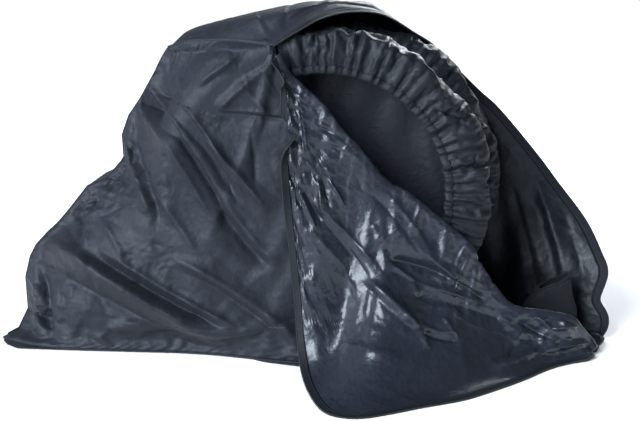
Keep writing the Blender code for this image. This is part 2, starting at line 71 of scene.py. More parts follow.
# ---------------------------------------------------------------- named sizes
HOLD = np.array((0.0, 0.020, 0.7205))   # the frame's origin, in floor coordinates
VIEW = (0.1625, -3.1007, 1.0549)        # the camera's place, from which folds are laid out
CLOTH = 0.0009           # thickness shown for the cloth
TAPE = 0.0016            # thickness shown for the zip tape
TAPE_WIDE = 0.018        # width of one half of the zip tape
JOIN = -0.0012           # the cloth goes this far into its tape
FLOOR = 0.0035           # height of a wall's lower edge above the floor
LYING = 0.0030           # least height of cloth that lies on the floor, before it is creased
LAID = 0.0022            # the same for the door once it is creased
RIDGE = 0.724            # height of the ridge at the bag's middle
FOLD_R = 0.011           # radius of the rolled fold of the door
STAND_OFF = 0.011        # how far the slack near wall stands off what holds it out
OFF_DRUM = 0.0012        # least gap between the near wall and the wheel cover behind it
OFF_WALL = 0.004         # least gap between the hanging door and the near wall
SEAM_GAP = 0.0012        # the near wall's left edge is this far in front of the outline
WALL_GRID = (260, 180)   # rows and columns of the near wall
DOOR_GRID = (10, 165)    # columns of the rolled fold and of the door
FAR_GRID = (225, 185)    # stations and levels of the far panel
BASE_GRID = (24, 90)     # rows and columns of the base
COVER_COLUMNS = (760, 480)          # columns round the near and the far wheel cover
STITCH = (0.0030, 0.0007, 0.0006)   # a stitch: length, width, height
STITCH_PITCH = 0.0042
TOOTH = (0.0015, 0.0034, 0.0036)    # a tooth of the zip, in the same way
TEETH_PITCH = 0.0026
TEETH_IN = 0.0016        # how far in from the tape's free edge its teeth sit
SEWN_IN = 0.0035         # how far in from its other edge it is sewn
UP = np.array((0.0, 0.0, 1.0))
FORWARD = np.array((0.0, -1.0, 0.0))

# left outline, where the near and the far panel meet: height, x, y
LEFT = mm([
    (3.5, -690, -62), (12, -662, -22), (50, -645, 0), (122, -647, 0), (168, -635, 0), (196, -620, 0),
    (224, -594, 0), (248, -568, 0), (275, -545, 0), (329, -502, 0), (350, -457, 0), (391, -421, 0),
    (442, -423, 0), (483, -408, 0), (522, -381, 0), (562, -358, 0), (601, -344, 0), (633, -322, 0),
])
# crest of the folded-down door, from the right lower corner up: x, y, z
CREST = mm([
    (592, -92, 16), (580, -88, 34), (561, -100, 58), (536, -110, 87), (481, -125, 104),
    (430, -138, 114), (401, -142, 126), (372, -146, 161), (338, -150, 213), (323, -152, 246),
    (284, -155, 284), (238, -158, 322), (193, -160, 360), (154, -160, 380), (128, -160, 405),
    (105, -160, 435), (79, -160, 466), (51, -158, 494), (22, -155, 534), (-20, -150, 573),
    (-51, -144, 602), (-70, -146, 641),
])
# free edge of the folded-down door, inside its tape, same direction: x, y, z
DOOR = mm([
    (577, -124, 10), (520, -150, 6), (470, -188, 4), (405, -262, 3.2), (325, -340, 3.2),
    (280, -375, 3.2), (208, -413, 3.2), (150, -447, 3.2), (100, -470, 3.2), (64, -466, 3.2),
    (38, -437, 3.2), (14, -365, 4), (-4, -290, 10), (-14, -246, 34), (-23, -222, 90), (-29, -207, 161),
    (-38, -199, 245), (-47, -194, 330), (-53, -188, 404), (-55, -179, 496), (-57, -171, 560),
    (-68, -167, 600), (-86, -165, 630),
])
# how far along its free edge the door is met from a share of the crest: share, share
DOOR_SHARE = [
    (0.00, 0.000), (0.05, 0.013), (0.10, 0.032), (0.20, 0.086), (0.30, 0.160),
    (0.41, 0.260), (0.50, 0.345), (0.60, 0.455), (0.70, 0.590), (0.80, 0.745),
    (0.90, 0.890), (0.95, 0.952), (1.00, 1.000),
]
# lower edge of the near panel on the floor: x, y
NEAR_HEM = mm([
    (-690, -62), (-672, -98), (-640, -126), (-500, -133), (-332, -137), (-194, -138), (-150, -156),
    (-105, -186), (-28, -208), (60, -200), (200, -176), (400, -142), (520, -112), (592, -81),
])
# right end of the base: y, x
BASE_END = mm([
    (-84, 592), (-44, 602), (-17, 614), (4, 620), (17, 618), (37, 611), (55, 602), (90, 588),
])
# depth of the near panel above its hem: height, at x -0.45, at x -0.10, at x 0.35
NEAR_WALL = mm([
    (0, -140, -176, -136), (100, -146, -166, -132), (250, -150, -154, -138), (400, -126, -149, -148),
    (550, -100, -144, -150), (660, -90, -134, -150),
])
# top seam of the near panel, from the left outline to the pinch: x, y, z
SEAM = mm([
    (-322, 0, 633), (-275, -40, 650), (-213, -66, 656), (-169, -88, 657), (-125, -115, 656),
    (-89, -140, 654),
])
UNDER_SEAM = np.array((0.0, 0.0010, 0.0024))   # how far below it the near wall's top edge is
# lower edge of the far panel: x, y
FAR_HEM = mm([
    (-690, -58), (-676, -28), (-650, 22), (-610, 70), (-540, 110), (-450, 128), (0, 133), (400, 131),
    (500, 126), (565, 106), (598, 72), (610, 40), (612, 16),
])
# sections of the far panel, left to right: foot_x, wall_y, the ridge (x, y, z),
# the near shoulder (x, y, z), the share of the top seam where it ends (metres)
FAR_SECTIONS = [
    (-0.560, 0.098, -0.287, 0.045, 0.650, -0.281, 0.012, 0.660, 0.15),
    (-0.400, 0.124, -0.205, 0.028, 0.684, -0.203, -0.015, 0.683, 0.40),
    (-0.200, 0.133, -0.120, 0.022, 0.706, -0.134, -0.055, 0.699, 0.63),
    (0.000, 0.135, -0.030, 0.020, 0.724, -0.078, -0.070, 0.710, 0.78),
    (0.180, 0.135, 0.045, 0.020, 0.725, -0.038, -0.060, 0.718, 0.87),
    (0.330, 0.134, 0.100, 0.028, 0.720, -0.006, -0.046, 0.721, 0.94),
]
# free edge of the far panel, inside its tape, from the floor to the pinch: x, y, z
FAR_EDGE = mm([
    (612, 16, 3.5), (614, 24, 40), (596, 40, 78), (611, 48, 136), (600, 68, 170), (579, 92, 215),
    (556, 110, 250), (509, 124, 309), (459, 129, 374), (378, 131, 469), (331, 130, 512),
    (287, 126, 556), (258, 121, 588), (222, 104, 631), (184, 76, 662), (155, 46, 685), (122, 16, 706),
    (86, -20, 717), (40, -50, 717), (-4, -90, 708), (-34, -120, 692), (-62, -134, 674),
    (-89, -140, 656),
])
# soft folds of the near panel, seen on the upright mid plane:
# x0, z0, x1, z1, bow, width, lift (a lift below zero is a trough)
NEAR_FOLDS = mm([
    (-600, 200, -160, 10, -20, 34, 22), (-600, 130, -600, 10, 4, 22, -10),
    (-360, 500, -200, 280, 12, 30, 11), (-250, 430, -100, 290, 6, 28, 9),
    (-300, 160, -45, 10, 10, 28, 12), (-420, 420, -370, 220, -10, 28, 9),
    (-330, 520, -100, 480, -6, 24, -7), (-220, 270, -120, 150, 0, 26, -8),
])
# folds of the folded-down door, laid out in the same way
DOOR_FOLDS = mm([
    (-10, 250, 110, 100, -6, 28, -6), (10, 290, 220, 10, -12, 26, 13),
    (130, 300, 320, 110, -12, 26, 12), (150, 160, 330, 90, 12, 26, -12),
    (380, -70, 560, 20, -10, 26, 9),
])
# folds of the far panel, laid out on its own upright plane
FAR_FOLDS = mm([
    (-560, 250, -500, 20, 10, 26, 10), (-400, 420, -330, 60, -12, 28, 10),
    (-210, 560, -170, 150, 12, 28, -8), (140, 560, 190, 120, -10, 28, 8),
    (330, 460, 420, 80, 12, 30, 10), (470, 300, 560, 60, -10, 24, 8),
])
# section of a wheel cover: radius, depth from its back
WHEEL_SECTION = mm([
    (120, 0), (250, 2), (318, 0), (336, 10), (344.5, 34), (340, 56), (326, 69), (302, 76), (276, 78),
    (258, 76),
])
# wheel covers: name, centre x, back y, centre height, flattening of the top (metres)
WHEELS = [
    ("near_wheel_cover", 0.012, -0.048, 0.3478, 0.005),
    ("far_wheel_cover", 0.036, 0.098, 0.3478, 0.006),
]
# sections of the fork pocket: height, low x, high x, half depth, slant
POCKET = mm([
    (12, 444, 554, 26, 0), (40, 439, 556, 28, 0), (66, 440, 554, 28, 3), (92, 449, 547, 26, 8),
    (112, 462, 542, 24, 13), (128, 474, 537, 22, 17),
])
POCKET_Y = 0.004         # the pocket's middle, across the bag
POCKET_FLOOR = 0.0042    # height of its bottom
SLIDER = (0.0075, 0.0045, 0.0105)   # zip slider: width, depth, height
BRIDGE = (0.0022, 0.0026, 0.0070)   # the bridge on its front
PULL = (0.0040, 0.0012, 0.0110)     # its pull

# sharp creases of the near wall, seen on the upright mid plane:
# x0, z0, x1, z1, bow, width, lift
NEAR_CREASES = mm([
    (-507, 179, -225, 11, -6, 14, -22), (-470, 182, -200, 22, -6, 6, 8),
    (-592, 212, -230, -12, -10, 22, 16), (-616, 149, -212, -60, -10, 22, -16),
    (-613, 135, -598, -30, 2, 10, -13), (-630, 110, -622, 0, 0, 7, 6), (-585, 95, -574, 15, 0, 6, 6),
    (-573, 85, -560, 20, 0, 5, -5), (-523, 290, -527, 180, 4, 9, -8), (-509, 290, -514, 190, 4, 8, 6),
    (-424, 435, -368, 270, 4, 13, 13), (-404, 430, -350, 265, 4, 10, -9),
    (-376, 530, -205, 265, 10, 9, -14), (-402, 570, -310, 440, 3, 10, -15),
    (-385, 575, -300, 455, 3, 7, 9), (-392, 510, -235, 260, 10, 10, 8),
    (-321, 518, -180, 300, 8, 15, -14), (-300, 520, -165, 310, 8, 8, 7),
    (-261, 445, -120, 288, 6, 9, 9), (-334, 529, -204, 489, -3, 5, -9),
    (-330, 521, -204, 481, -3, 5, 6), (-204, 489, -70, 478, 2, 5, -6), (-204, 498, -70, 487, 2, 5, 4),
    (-258, 549, -175, 613, 0, 7, 7), (-262, 535, -215, 575, 0, 6, -6), (-222, 494, -98, 603, 2, 10, 8),
    (-240, 520, -115, 615, 2, 14, -6), (-420, 442, -500, 330, 6, 10, -10),
    (-405, 400, -470, 320, 6, 8, -8), (-415, 415, -480, 335, 6, 6, 7),
    (-315, 620, -110, 640, -4, 8, -6), (-368, 377, -325, 397, 2, 5, -6),
    (-317, 170, -50, -10, 10, 11, 8), (-300, 140, -75, -20, 10, 12, -8),
    (-225, 285, -115, 150, -3, 13, -11), (-200, 290, -100, 165, -3, 9, 7),
    (-345, 300, -270, 185, 3, 10, 6), (-470, 250, -430, 160, 3, 9, 6), (-440, 20, -255, -35, 4, 12, 7),
    (-180, 560, -110, 490, 3, 12, 5), (-150, 460, -140, 330, 4, 9, -4), (-310, 600, -285, 520, 2, 8, 5),
])
# sharp creases of the folded-down door, in the same way
DOOR_CREASES = mm([
    (-54, 335, -7, 238, 2, 7, 9), (-40, 330, 2, 250, 2, 8, -7), (-6, 272, 110, 124, 3, 14, -9),
    (16, 270, 120, 160, 3, 6, 5), (-24, 240, 85, 108, 4, 10, 6), (105, 128, 219, 17, 0, 8, 12),
    (85, 125, 205, 12, 0, 10, -6), (219, 17, 238, -30, 0, 7, 8), (18, 350, 52, 288, 2, 6, 8),
    (-4, 350, 6, 268, 0, 6, 8), (6, 350, 22, 285, 0, 7, -6), (130, 212, 116, 252, 0, 7, 5),
    (130, 212, 170, 240, 3, 8, 3), (130, 212, 88, 190, 0, 8, 3), (130, 212, 112, 160, 0, 9, -4),
    (140, 205, 170, 160, 0, 10, -5), (131, 332, 244, 176, 8, 8, 5), (244, 176, 355, 100, -8, 8, 7),
    (112, 318, 228, 168, 8, 11, -5), (154, 170, 286, 132, 4, 12, -14), (286, 132, 360, 84, 3, 10, -10),
    (152, 166, 206, 124, 0, 7, 10), (200, 120, 215, 95, 0, 6, 6), (206, 124, 330, 86, 0, 7, 6),
    (200, 95, 400, 40, 6, 16, -8), (222, 12, 306, -6, -6, 7, -8), (225, 22, 300, 8, -4, 6, 5),
    (270, 45, 300, -5, 0, 7, 6), (461, 62, 500, 22, 0, 7, 11), (500, 22, 566, 30, 0, 7, 9),
    (500, 22, 480, -6, 0, 7, 8), (430, 40, 500, 0, 0, 9, -10), (520, 50, 545, 0, 0, 7, 7),
    (389, -73, 481, -29, 2, 9, 8), (481, -29, 578, -9, 2, 8, 7), (380, -55, 470, -15, 2, 9, -7),
    (-40, 38, 58, 30, -3, 5, -5), (-44, 110, -10, 130, 2, 5, 5), (50, -20, 170, -45, -3, 12, 5),
    (88, -40, 230, -66, 0, 15, 4), (40, 440, 110, 360, 3, 8, 6), (60, 450, 130, 375, 3, 8, -6),
    (-49, 520, -34, 400, 1, 3.5, 3), (-42, 520, -27, 400, 1, 3.5, 3),
])
# small crinkles: x0, z0, x1, z1 of the patch, number, angle and spread in degrees,
# length, width, lift
NEAR_CRINKLES = [
    (-540, 270, -430, 430, 90, 50, 30, 45, 6, 5.5), (-430, 260, -350, 400, 40, 50, 30, 45, 6, 2.2),
    (-430, 420, -320, 620, 50, -65, 25, 60, 6, 2.4), (-430, 100, -320, 210, 40, 20, 60, 35, 5, 2.2),
    (-650, -30, -480, 250, 70, -80, 25, 60, 7, 3), (-650, -50, -50, 300, 150, -35, 30, 110, 9, 1.4),
    (-400, 250, -60, 650, 170, -55, 35, 90, 8, 1.3), (-340, 460, -200, 540, 40, -10, 40, 30, 4, 2),
    (-330, 580, -80, 660, 50, -10, 30, 60, 6, 1.8),
]
DOOR_CRINKLES = [
    (-85, 100, -45, 600, 150, -10, 40, 24, 4, 6), (-80, 290, 30, 420, 80, 0, 90, 30, 5, 4.4),
    (-50, 120, 10, 260, 60, 0, 90, 26, 4.5, 3.4), (-40, 400, 70, 530, 60, -10, 25, 45, 5, 3.6),
    (-70, -20, 340, 420, 190, -50, 35, 60, 6, 2.2), (-40, -60, 110, 130, 60, 10, 50, 45, 6, 1.4),
    (0, -190, 450, 0, 80, -8, 30, 80, 8, 1.2), (400, -50, 610, 90, 70, 10, 80, 45, 7, 4.5),
    (220, 0, 430, 140, 60, -25, 25, 60, 6, 2.6), (180, 0, 300, 70, 40, 0, 90, 25, 5, 2.8),
]
FAR_CRINKLES = [
    (-700, 0, 300, 600, 260, 75, 40, 110, 10, 3.4), (300, 0, 640, 500, 60, 80, 35, 110, 9, 0.6),
    (-400, 560, 250, 780, 80, 60, 50, 50, 7, 2.4), (350, 50, 640, 420, 40, 70, 30, 90, 8, 0.8),
]

# sharp creases of the back: x0, z0, x1, z1, bow, width, lift
FAR_CREASES = mm([
    (-520, 300, -560, 20, 12, 12, 12), (-470, 340, -500, 30, 10, 9, -10),
    (-380, 480, -420, 60, 16, 14, 13), (-330, 500, -360, 140, 12, 8, -9),
    (-250, 560, -290, 250, 10, 10, 10), (-200, 560, -120, 60, -14, 13, -12),
    (-120, 520, -60, 100, -10, 9, 9), (20, 600, -10, 300, 8, 11, 10), (80, 580, 130, 150, -12, 13, 12),
    (160, 520, 220, 60, -10, 9, -10), (300, 400, 290, 80, 6, 12, 8), (518, 320, 596, 180, 6, 9, 7),
    (545, 222, 612, 158, 4, 9, 8), (520, 290, 584, 83, 8, 12, -10), (470, 330, 545, 60, 10, 16, 10),
    (420, 300, 480, 50, 6, 14, -8),
])
# sharp creases of the top, seen on the upright mid plane
TOP_CREASES = mm([
    (-136, 700, -105, 636, 3, 8, -6), (-128, 698, -95, 640, 3, 7, 3), (-290, 656, -130, 652, 4, 12, -4),
])
# crinkles round a wheel cover: along its rim and across it, from back to hem
COVER_CRINKLES = [
    (0, 10, 2010, 150, 520, 90, 45, 40, 3.6, 4.4), (0, 80, 2010, 150, 220, 90, 15, 32, 3, 4),
]

# how much the tables' creases and crinkles are deepened on the wall and the door
WALL_DEEPER = (1.85, 1.4)
DOOR_DEEPER = (1.25, 0.7)
CRINKLE_SEEDS = {"wall": 3, "door": 5, "far": 8, "cover": 11}
# where the door turns from hanging to lying, as a share of its height, how far round
# it the cloth is evened out before it is creased, and how many times
DOOR_TURN = (0.70, 0.07, 90)
# each cloth simulation: the rows and columns simulated, how much cloth is spare, how
# far a point may move, and what differs from the usual
WALL_SLACK = {"size": (110, 110), "slack": 0.028, "cap": 0.007}
DOOR_SLACK = {"size": (125, 90), "slack": 0.025, "cap": 0.011}
FAR_SLACK = {"size": (80, 120), "slack": 0.018, "cap": 0.010, "gravity": 0.0}
COVER_SLACK = {"size": (26, 240), "slack": 0.10, "cap": 0.010, "steps": 22, "bend": 0.02, "closed": True}
CLOTH_SETTINGS = {
    "quality": 5, "mass": 0.15, "tension_stiffness": 20.0, "compression_stiffness": 20.0,
    "shear_stiffness": 8.0, "bending_damping": 0.5, "tension_damping": 5.0, "compression_damping": 5.0,
    "shear_damping": 5.0, "air_damping": 2.0, "vertex_group_mass": "held", "pin_stiffness": 1.0,
}


# ------------------------------------------------------------------ functions
def ease(t):
    """A smooth step from 0 at 0 to 1 at 1."""
    t = np.clip(t, 0.0, 1.0)
    return t * t * (3.0 - 2.0 * t)


def unit(p):
    """Vectors along the last axis, at length 1."""
    return p / np.linalg.norm(p, axis=-1, keepdims=True)


def run_lengths(p):
    """How far each point of a line is along it."""
    return np.concatenate([[0.0], np.cumsum(np.linalg.norm(np.diff(p, axis=0), axis=1))])


def look(table, key, column):
    """A column of a table, read off at a key in its first column."""
    rows = np.asarray(table, float)
    return np.interp(key, rows[:, 0], rows[:, column])


def spline(points, count, keys=None):
    """Smooth curve through the rows, evenly spaced along its length."""
    p = np.asarray(points, float)
    if keys is None:
        keys = run_lengths(p)
        keys = keys / keys[-1]
    q = np.vstack([2 * p[0] - p[1], p, 2 * p[-1] - p[-2]])
    t = np.linspace(0.0, 1.0, count) if np.isscalar(count) else np.asarray(count)
    i = np.clip(np.searchsorted(keys, t, side="right") - 1, 0, len(p) - 2)
    f = ((t - keys[i]) / (keys[i + 1] - keys[i]))[:, None]
    a, b, c, d = q[i], q[i + 1], q[i + 2], q[i + 3]
    return 0.5 * (2 * b + (c - a) * f + (2 * a - 5 * b + 4 * c - d) * f ** 2
                  + (3 * b - a - 3 * c + d) * f ** 3)


def normals(p):
    """Unit normals of a grid of points, rows by columns."""
    n = np.cross(np.gradient(p, axis=1), np.gradient(p, axis=0))
    return n / np.maximum(np.linalg.norm(n, axis=2, keepdims=True), 1e-12)


def facing_normals(p):
    """Normals of a sheet, on the side that mostly faces forward and up."""
    n = normals(p)
    return n if float((0.6 * n[..., 2] - n[..., 1]).mean()) > 0 else -n


def on_mid_plane(p):
    """Where a point is seen on the upright plane through the ridge."""
    k = (-VIEW[1]) / (p[..., 1] - VIEW[1])
    return (VIEW[0] + (p[..., 0] - VIEW[0]) * k,
            VIEW[2] + (p[..., 2] - VIEW[2]) * k)


def crease_lift(x, z, creases, past, run, crest):
    """How far creases lift each point. They go past their ends, where they fade over a
    run, and crest gives their section."""
    total = np.zeros_like(x)
    for x0, z0, x1, z1, bow, width, lift in creases:
        dx, dz = x1 - x0, z1 - z0
        length = math.hypot(dx, dz)
        t = ((x - x0) * dx + (z - z0) * dz) / length ** 2
        off = ((x - x0) * -dz + (z - z0) * dx) / length
        off = off - bow * 4.0 * t * (1.0 - t)
        ends = ease((t + past) / run) * ease((1.0 + past - t) / run)
        total += lift * ends * np.exp(crest(off / width))
    return total


def fold_lift(x, z, folds):
    """How far soft folds, with rounded crests, lift each point."""
    return crease_lift(x, z, folds, 0.08, 0.25, lambda a: -a ** 2)


def sharp_lift(x, z, creases):
    """Like fold_lift, with a pointed crest in place of a rounded one."""
    return crease_lift(x, z, creases, 0.10, 0.30, lambda a: -np.sqrt(a ** 2 + 0.04) * 1.2)


def soften(rows, times):
    """Even out a run of directions."""
    r = np.array(rows, float)
    for _ in range(times):
        r[1:-1] = 0.25 * r[:-2] + 0.5 * r[1:-1] + 0.25 * r[2:]
        r = unit(r)
    return r


def crinkles(patches, seed):
    """Rows for sharp_lift: short creases strewn over each patch."""
    rng = np.random.default_rng(seed)
    rows = []
    for *corners, number, angle, spread, length, width, lift in patches:
        x0, z0, x1, z1, length, width, lift = mm((*corners, length, width, lift))
        for _ in range(number):
            x, z = rng.uniform(x0, x1), rng.uniform(z0, z1)
            turn = math.radians(angle + spread * rng.uniform(-1, 1))
            half = 0.5 * length * rng.uniform(0.5, 1.4)
            dx, dz = half * math.cos(turn), half * math.sin(turn)
            rows.append((x - dx, z - dz, x + dx, z + dz, length * rng.uniform(-0.12, 0.12),
                         width * rng.uniform(0.7, 1.4),
                         lift * rng.uniform(0.35, 1.0) * rng.choice((-1, 1))))
    return rows


# ------------------------------------------------------------- mesh and nodes
collection = bpy.data.collections.new("bicycle_cover")
bpy.context.scene.collection.children.link(collection)


def to_frame(p):
    """From floor coordinates to the frame's."""
    return np.asarray(p, float) - HOLD


def mesh_object(name, verts, faces, materials, uv=None):
    """A mesh in the cover's collection. uv is each point's place on the cut cloth."""
    mesh = bpy.data.meshes.new(name)
    mesh.from_pydata(to_frame(verts).tolist(), [], faces)
    for made in materials:
        mesh.materials.append(made)
    mesh.shade_smooth()
    if uv is not None:
        layer = mesh.uv_layers.new(name="cut")
        index = np.zeros(len(mesh.loops), dtype=int)
        mesh.loops.foreach_get("vertex_index", index)
        layer.data.foreach_set("uv", np.asarray(uv, float)[index].ravel())
    ob = bpy.data.objects.new(name, mesh)
    collection.objects.link(ob)
    return ob


def grid_faces(rows, cols, closed=False):
    """Four-sided faces between the points of a grid, closed round its columns or not."""
    last = cols if closed else cols - 1
    faces = []
    for j in range(rows - 1):
        for i in range(last):
            a, b = j * cols + i, j * cols + (i + 1) % cols
            faces.append((a, b, b + cols, a + cols))
    return faces


def cut_sizes(p):
    """Lengths across and along a grid of points, as the cloth was cut."""
    steps = np.linalg.norm(np.diff(p, axis=1), axis=2)
    across = np.concatenate([np.zeros((p.shape[0], 1)), np.cumsum(steps, axis=1)], axis=1)
    steps = np.linalg.norm(np.diff(p, axis=0), axis=2).mean(axis=1)
    along = np.concatenate([[0.0], np.cumsum(steps)])
    return np.stack([across, np.repeat(along[:, None], p.shape[1], axis=1)], axis=2)


def area_of(p):
    """Area of the cloth through a grid of points."""
    a, b = p[1:, 1:] - p[:-1, :-1], p[1:, :-1] - p[:-1, 1:]
    return float(np.linalg.norm(np.cross(a, b), axis=2).sum() / 2)


def between(grid, rows, cols, closed=False):
    """Resample a grid of points smoothly to other numbers of rows and columns."""
    def weights(count, wanted):
        return spline(np.eye(count), np.linspace(0, 1, wanted), np.linspace(0, 1, count))
    grid = np.einsum("ij,jkc->ikc", weights(grid.shape[0], rows), grid)
    if closed:
        pad = 3
        around = np.concatenate([grid[:, -pad:], grid, grid[:, :pad + 1]], axis=1)
        at = (np.arange(cols) / cols * grid.shape[1] + pad) / (around.shape[1] - 1)
        across = spline(np.eye(around.shape[1]), at, np.linspace(0, 1, around.shape[1]))
        return np.einsum("ij,kjc->kic", across, around)
    return np.einsum("ij,kjc->kic", weights(grid.shape[1], cols), grid)


def crumpled(p, size, free, slack, cap, steps=30, bend=0.05, gravity=0.2, closed=False):
    """How far the points of a grid move when its cloth, cut slack, is let go
    inside its held edges. size is the rows and columns simulated, free is 0
    where the cloth is held, and no point moves further than cap."""
    rows, cols = size
    start = between(p, rows, cols, closed)
    mesh = bpy.data.meshes.new("slack_cloth")
    mesh.from_pydata(start.reshape(-1, 3).tolist(), [], grid_faces(rows, cols, closed))
    ob = bpy.data.objects.new("slack_cloth", mesh)
    bpy.context.scene.collection.objects.link(ob)
    loose = between(free[..., None], rows, cols, closed)[..., 0].ravel()
    held = ob.vertex_groups.new(name="held")
    for k, share in enumerate(loose):
        held.add([k], float(np.clip(1.0 - share, 0.0, 1.0)), "REPLACE")
    sim = ob.modifiers.new("cloth", "CLOTH")
    settings = sim.settings
    for key, value in CLOTH_SETTINGS.items():
        setattr(settings, key, value)
    settings.bending_stiffness = bend
    settings.shrink_min = -slack
    settings.effector_weights.gravity = gravity
    sim.collision_settings.use_collision = False
    sim.collision_settings.use_self_collision = False
    sim.point_cache.frame_start = 1
    sim.point_cache.frame_end = steps
    scene = bpy.context.scene
    for frame_number in range(1, steps + 1):
        scene.frame_set(frame_number)
    ready = ob.evaluated_get(bpy.context.evaluated_depsgraph_get())
    moved = np.empty(len(mesh.vertices) * 3)
    ready.data.vertices.foreach_get("co", moved)
    scene.frame_set(1)
    bpy.data.objects.remove(ob, do_unlink=True)
    bpy.data.meshes.remove(mesh)
    shift = moved.reshape(rows, cols, 3) - start
    far = np.maximum(np.linalg.norm(shift, axis=2, keepdims=True), 1e-9)
    shift = shift * (cap * np.tanh(far / cap) / far)
    return between(shift, p.shape[0], p.shape[1], closed)


def cloth_piece(name, p, thick, materials, nodes=(), closed=False, pole=False):
    """A cloth sheet through a grid of points: its first material is on the
    side that the grid's normal points to, its second on the other."""
    rows, cols = p.shape[:2]
    verts = p.reshape(-1, 3)
    uv = cut_sizes(p).reshape(-1, 2)
    faces = grid_faces(rows, cols, closed)
    if pole:
        verts = np.vstack([verts, p[0].mean(axis=0)])
        uv = np.vstack([uv, uv[0]])
        faces += [((i + 1) % cols, i, rows * cols) for i in range(cols)]
    ob = mesh_object(name, verts, faces, materials, uv)
    solid = ob.modifiers.new("thickness", "SOLIDIFY")
    solid.thickness = thick
    solid.offset = 0.0
    solid.use_even_offset = False
    solid.material_offset = len(materials) - 1
    settle(ob, nodes)
    return ob


def settle(ob, nodes=()):
    """Attach a piece to the root body, and hide the nodes that it stands for."""
    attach(ob, "root")
    if nodes:
        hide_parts(*nodes)


# ------------------------------------------------------------------ materials
def add(tree, kind, inputs=None, **settings):
    """A shader node, with its inputs linked where they are sockets."""
    node = tree.nodes.new(kind)
    for key, value in settings.items():
        setattr(node, key, value)
    for key, value in (inputs or {}).items():
        if isinstance(value, bpy.types.NodeSocket):
            tree.links.new(value, node.inputs[key])
        else:
            node.inputs[key].default_value = value
    return node


def fabric(name, colour, rough, coat=0.0, coat_rough=0.2, sheen=0.0, specular=0.5,
           weave=0.0008, weave_deep=0.00004, crumple=(), patchy=0.12):
    """Woven cloth: a plain weave, creases at several sizes and uneven colour.
    crumple has a row for each size of crease: size, depth, sharpness."""
    made = bpy.data.materials.new(name)
    made.use_nodes = True
    tree = made.node_tree
    shader = tree.nodes["Principled BSDF"]
    for key, value in (("Metallic", 0.0), ("Specular IOR Level", specular),
                       ("Specular Tint", (0.80, 0.90, 1.0, 1.0)), ("Coat Weight", coat),
                       ("Coat Roughness", coat_rough), ("Coat Tint", (0.80, 0.88, 1.0, 1.0)),
                       ("Sheen Weight", sheen), ("Sheen Roughness", 0.4)):
        shader.inputs[key].default_value = value
    made.diffuse_color = colour + (1.0,)
    place = add(tree, "ShaderNodeTexCoord").outputs["Object"]
    cut = add(tree, "ShaderNodeTexCoord").outputs["UV"]
    # uneven colour: broad patches and a fine mottle
    broad = add(tree, "ShaderNodeTexNoise", {"Vector": place, "Scale": 7.0, "Detail": 3.0})
    fine = add(tree, "ShaderNodeTexNoise", {"Vector": place, "Scale": 90.0, "Detail": 4.0})
    mixed = add(tree, "ShaderNodeMath", {0: broad.outputs["Fac"], 1: fine.outputs["Fac"]},
                operation="ADD")
    ramp = add(tree, "ShaderNodeMapRange",
               {"Value": mixed.outputs[0], "From Min": 0.75, "From Max": 1.25,
                "To Min": 1.0 - patchy, "To Max": 1.0 + patchy})
    tint = add(tree, "ShaderNodeMix", {"Factor": 1.0, "A": colour + (1.0,), "B": ramp.outputs[0]},
               data_type="RGBA", blend_type="MULTIPLY")
    tree.links.new(tint.outputs["Result"], shader.inputs["Base Color"])
    worn = add(tree, "ShaderNodeMapRange",
               {"Value": fine.outputs["Fac"], "From Min": 0.3, "From Max": 0.7,
                "To Min": rough * 0.88, "To Max": min(1.0, rough * 1.12)})
    tree.links.new(worn.outputs[0], shader.inputs["Roughness"])
    # plain weave: two sets of threads
    period = 2 * math.pi / (20.0 * weave)
    threads = [add(tree, "ShaderNodeTexWave", {"Vector": cut, "Scale": period, "Distortion": 0.4,
                                               "Detail": 1.0, "Detail Scale": 0.5},
                   wave_type="BANDS", bands_direction=axis).outputs["Fac"] for axis in ("X", "Y")]
    woven = add(tree, "ShaderNodeMath", {0: threads[0], 1: threads[1]}, operation="MAXIMUM")
    bump = add(tree, "ShaderNodeBump",
               {"Height": woven.outputs[0], "Strength": 0.6, "Distance": weave_deep})
    for size, deep, sharp in crumple:
        warp = add(tree, "ShaderNodeTexNoise", {"Vector": place, "Scale": 0.5 / size, "Detail": 2.0})
        shift = add(tree, "ShaderNodeVectorMath", {0: warp.outputs["Color"], 1: (size, size, size)},
                    operation="MULTIPLY")
        moved = add(tree, "ShaderNodeVectorMath", {0: place, 1: shift.outputs[0]}, operation="ADD")
        facets = add(tree, "ShaderNodeTexVoronoi", {"Vector": moved.outputs[0], "Scale": 1.0 / size,
                                                    "Randomness": 1.0}, feature="F1")
        soft = add(tree, "ShaderNodeTexNoise", {"Vector": moved.outputs[0], "Scale": 1.3 / size,
                                                "Detail": 3.0, "Roughness": 0.55})
        height = add(tree, "ShaderNodeMix", {"Factor": sharp, "A": soft.outputs["Fac"],
                                             "B": facets.outputs["Distance"]}, data_type="FLOAT")
        bump = add(tree, "ShaderNodeBump", {"Height": height.outputs["Result"], "Strength": 1.0,
                                            "Distance": deep, "Normal": bump.outputs["Normal"]})
    tree.links.new(bump.outputs["Normal"], shader.inputs["Normal"])
    return made


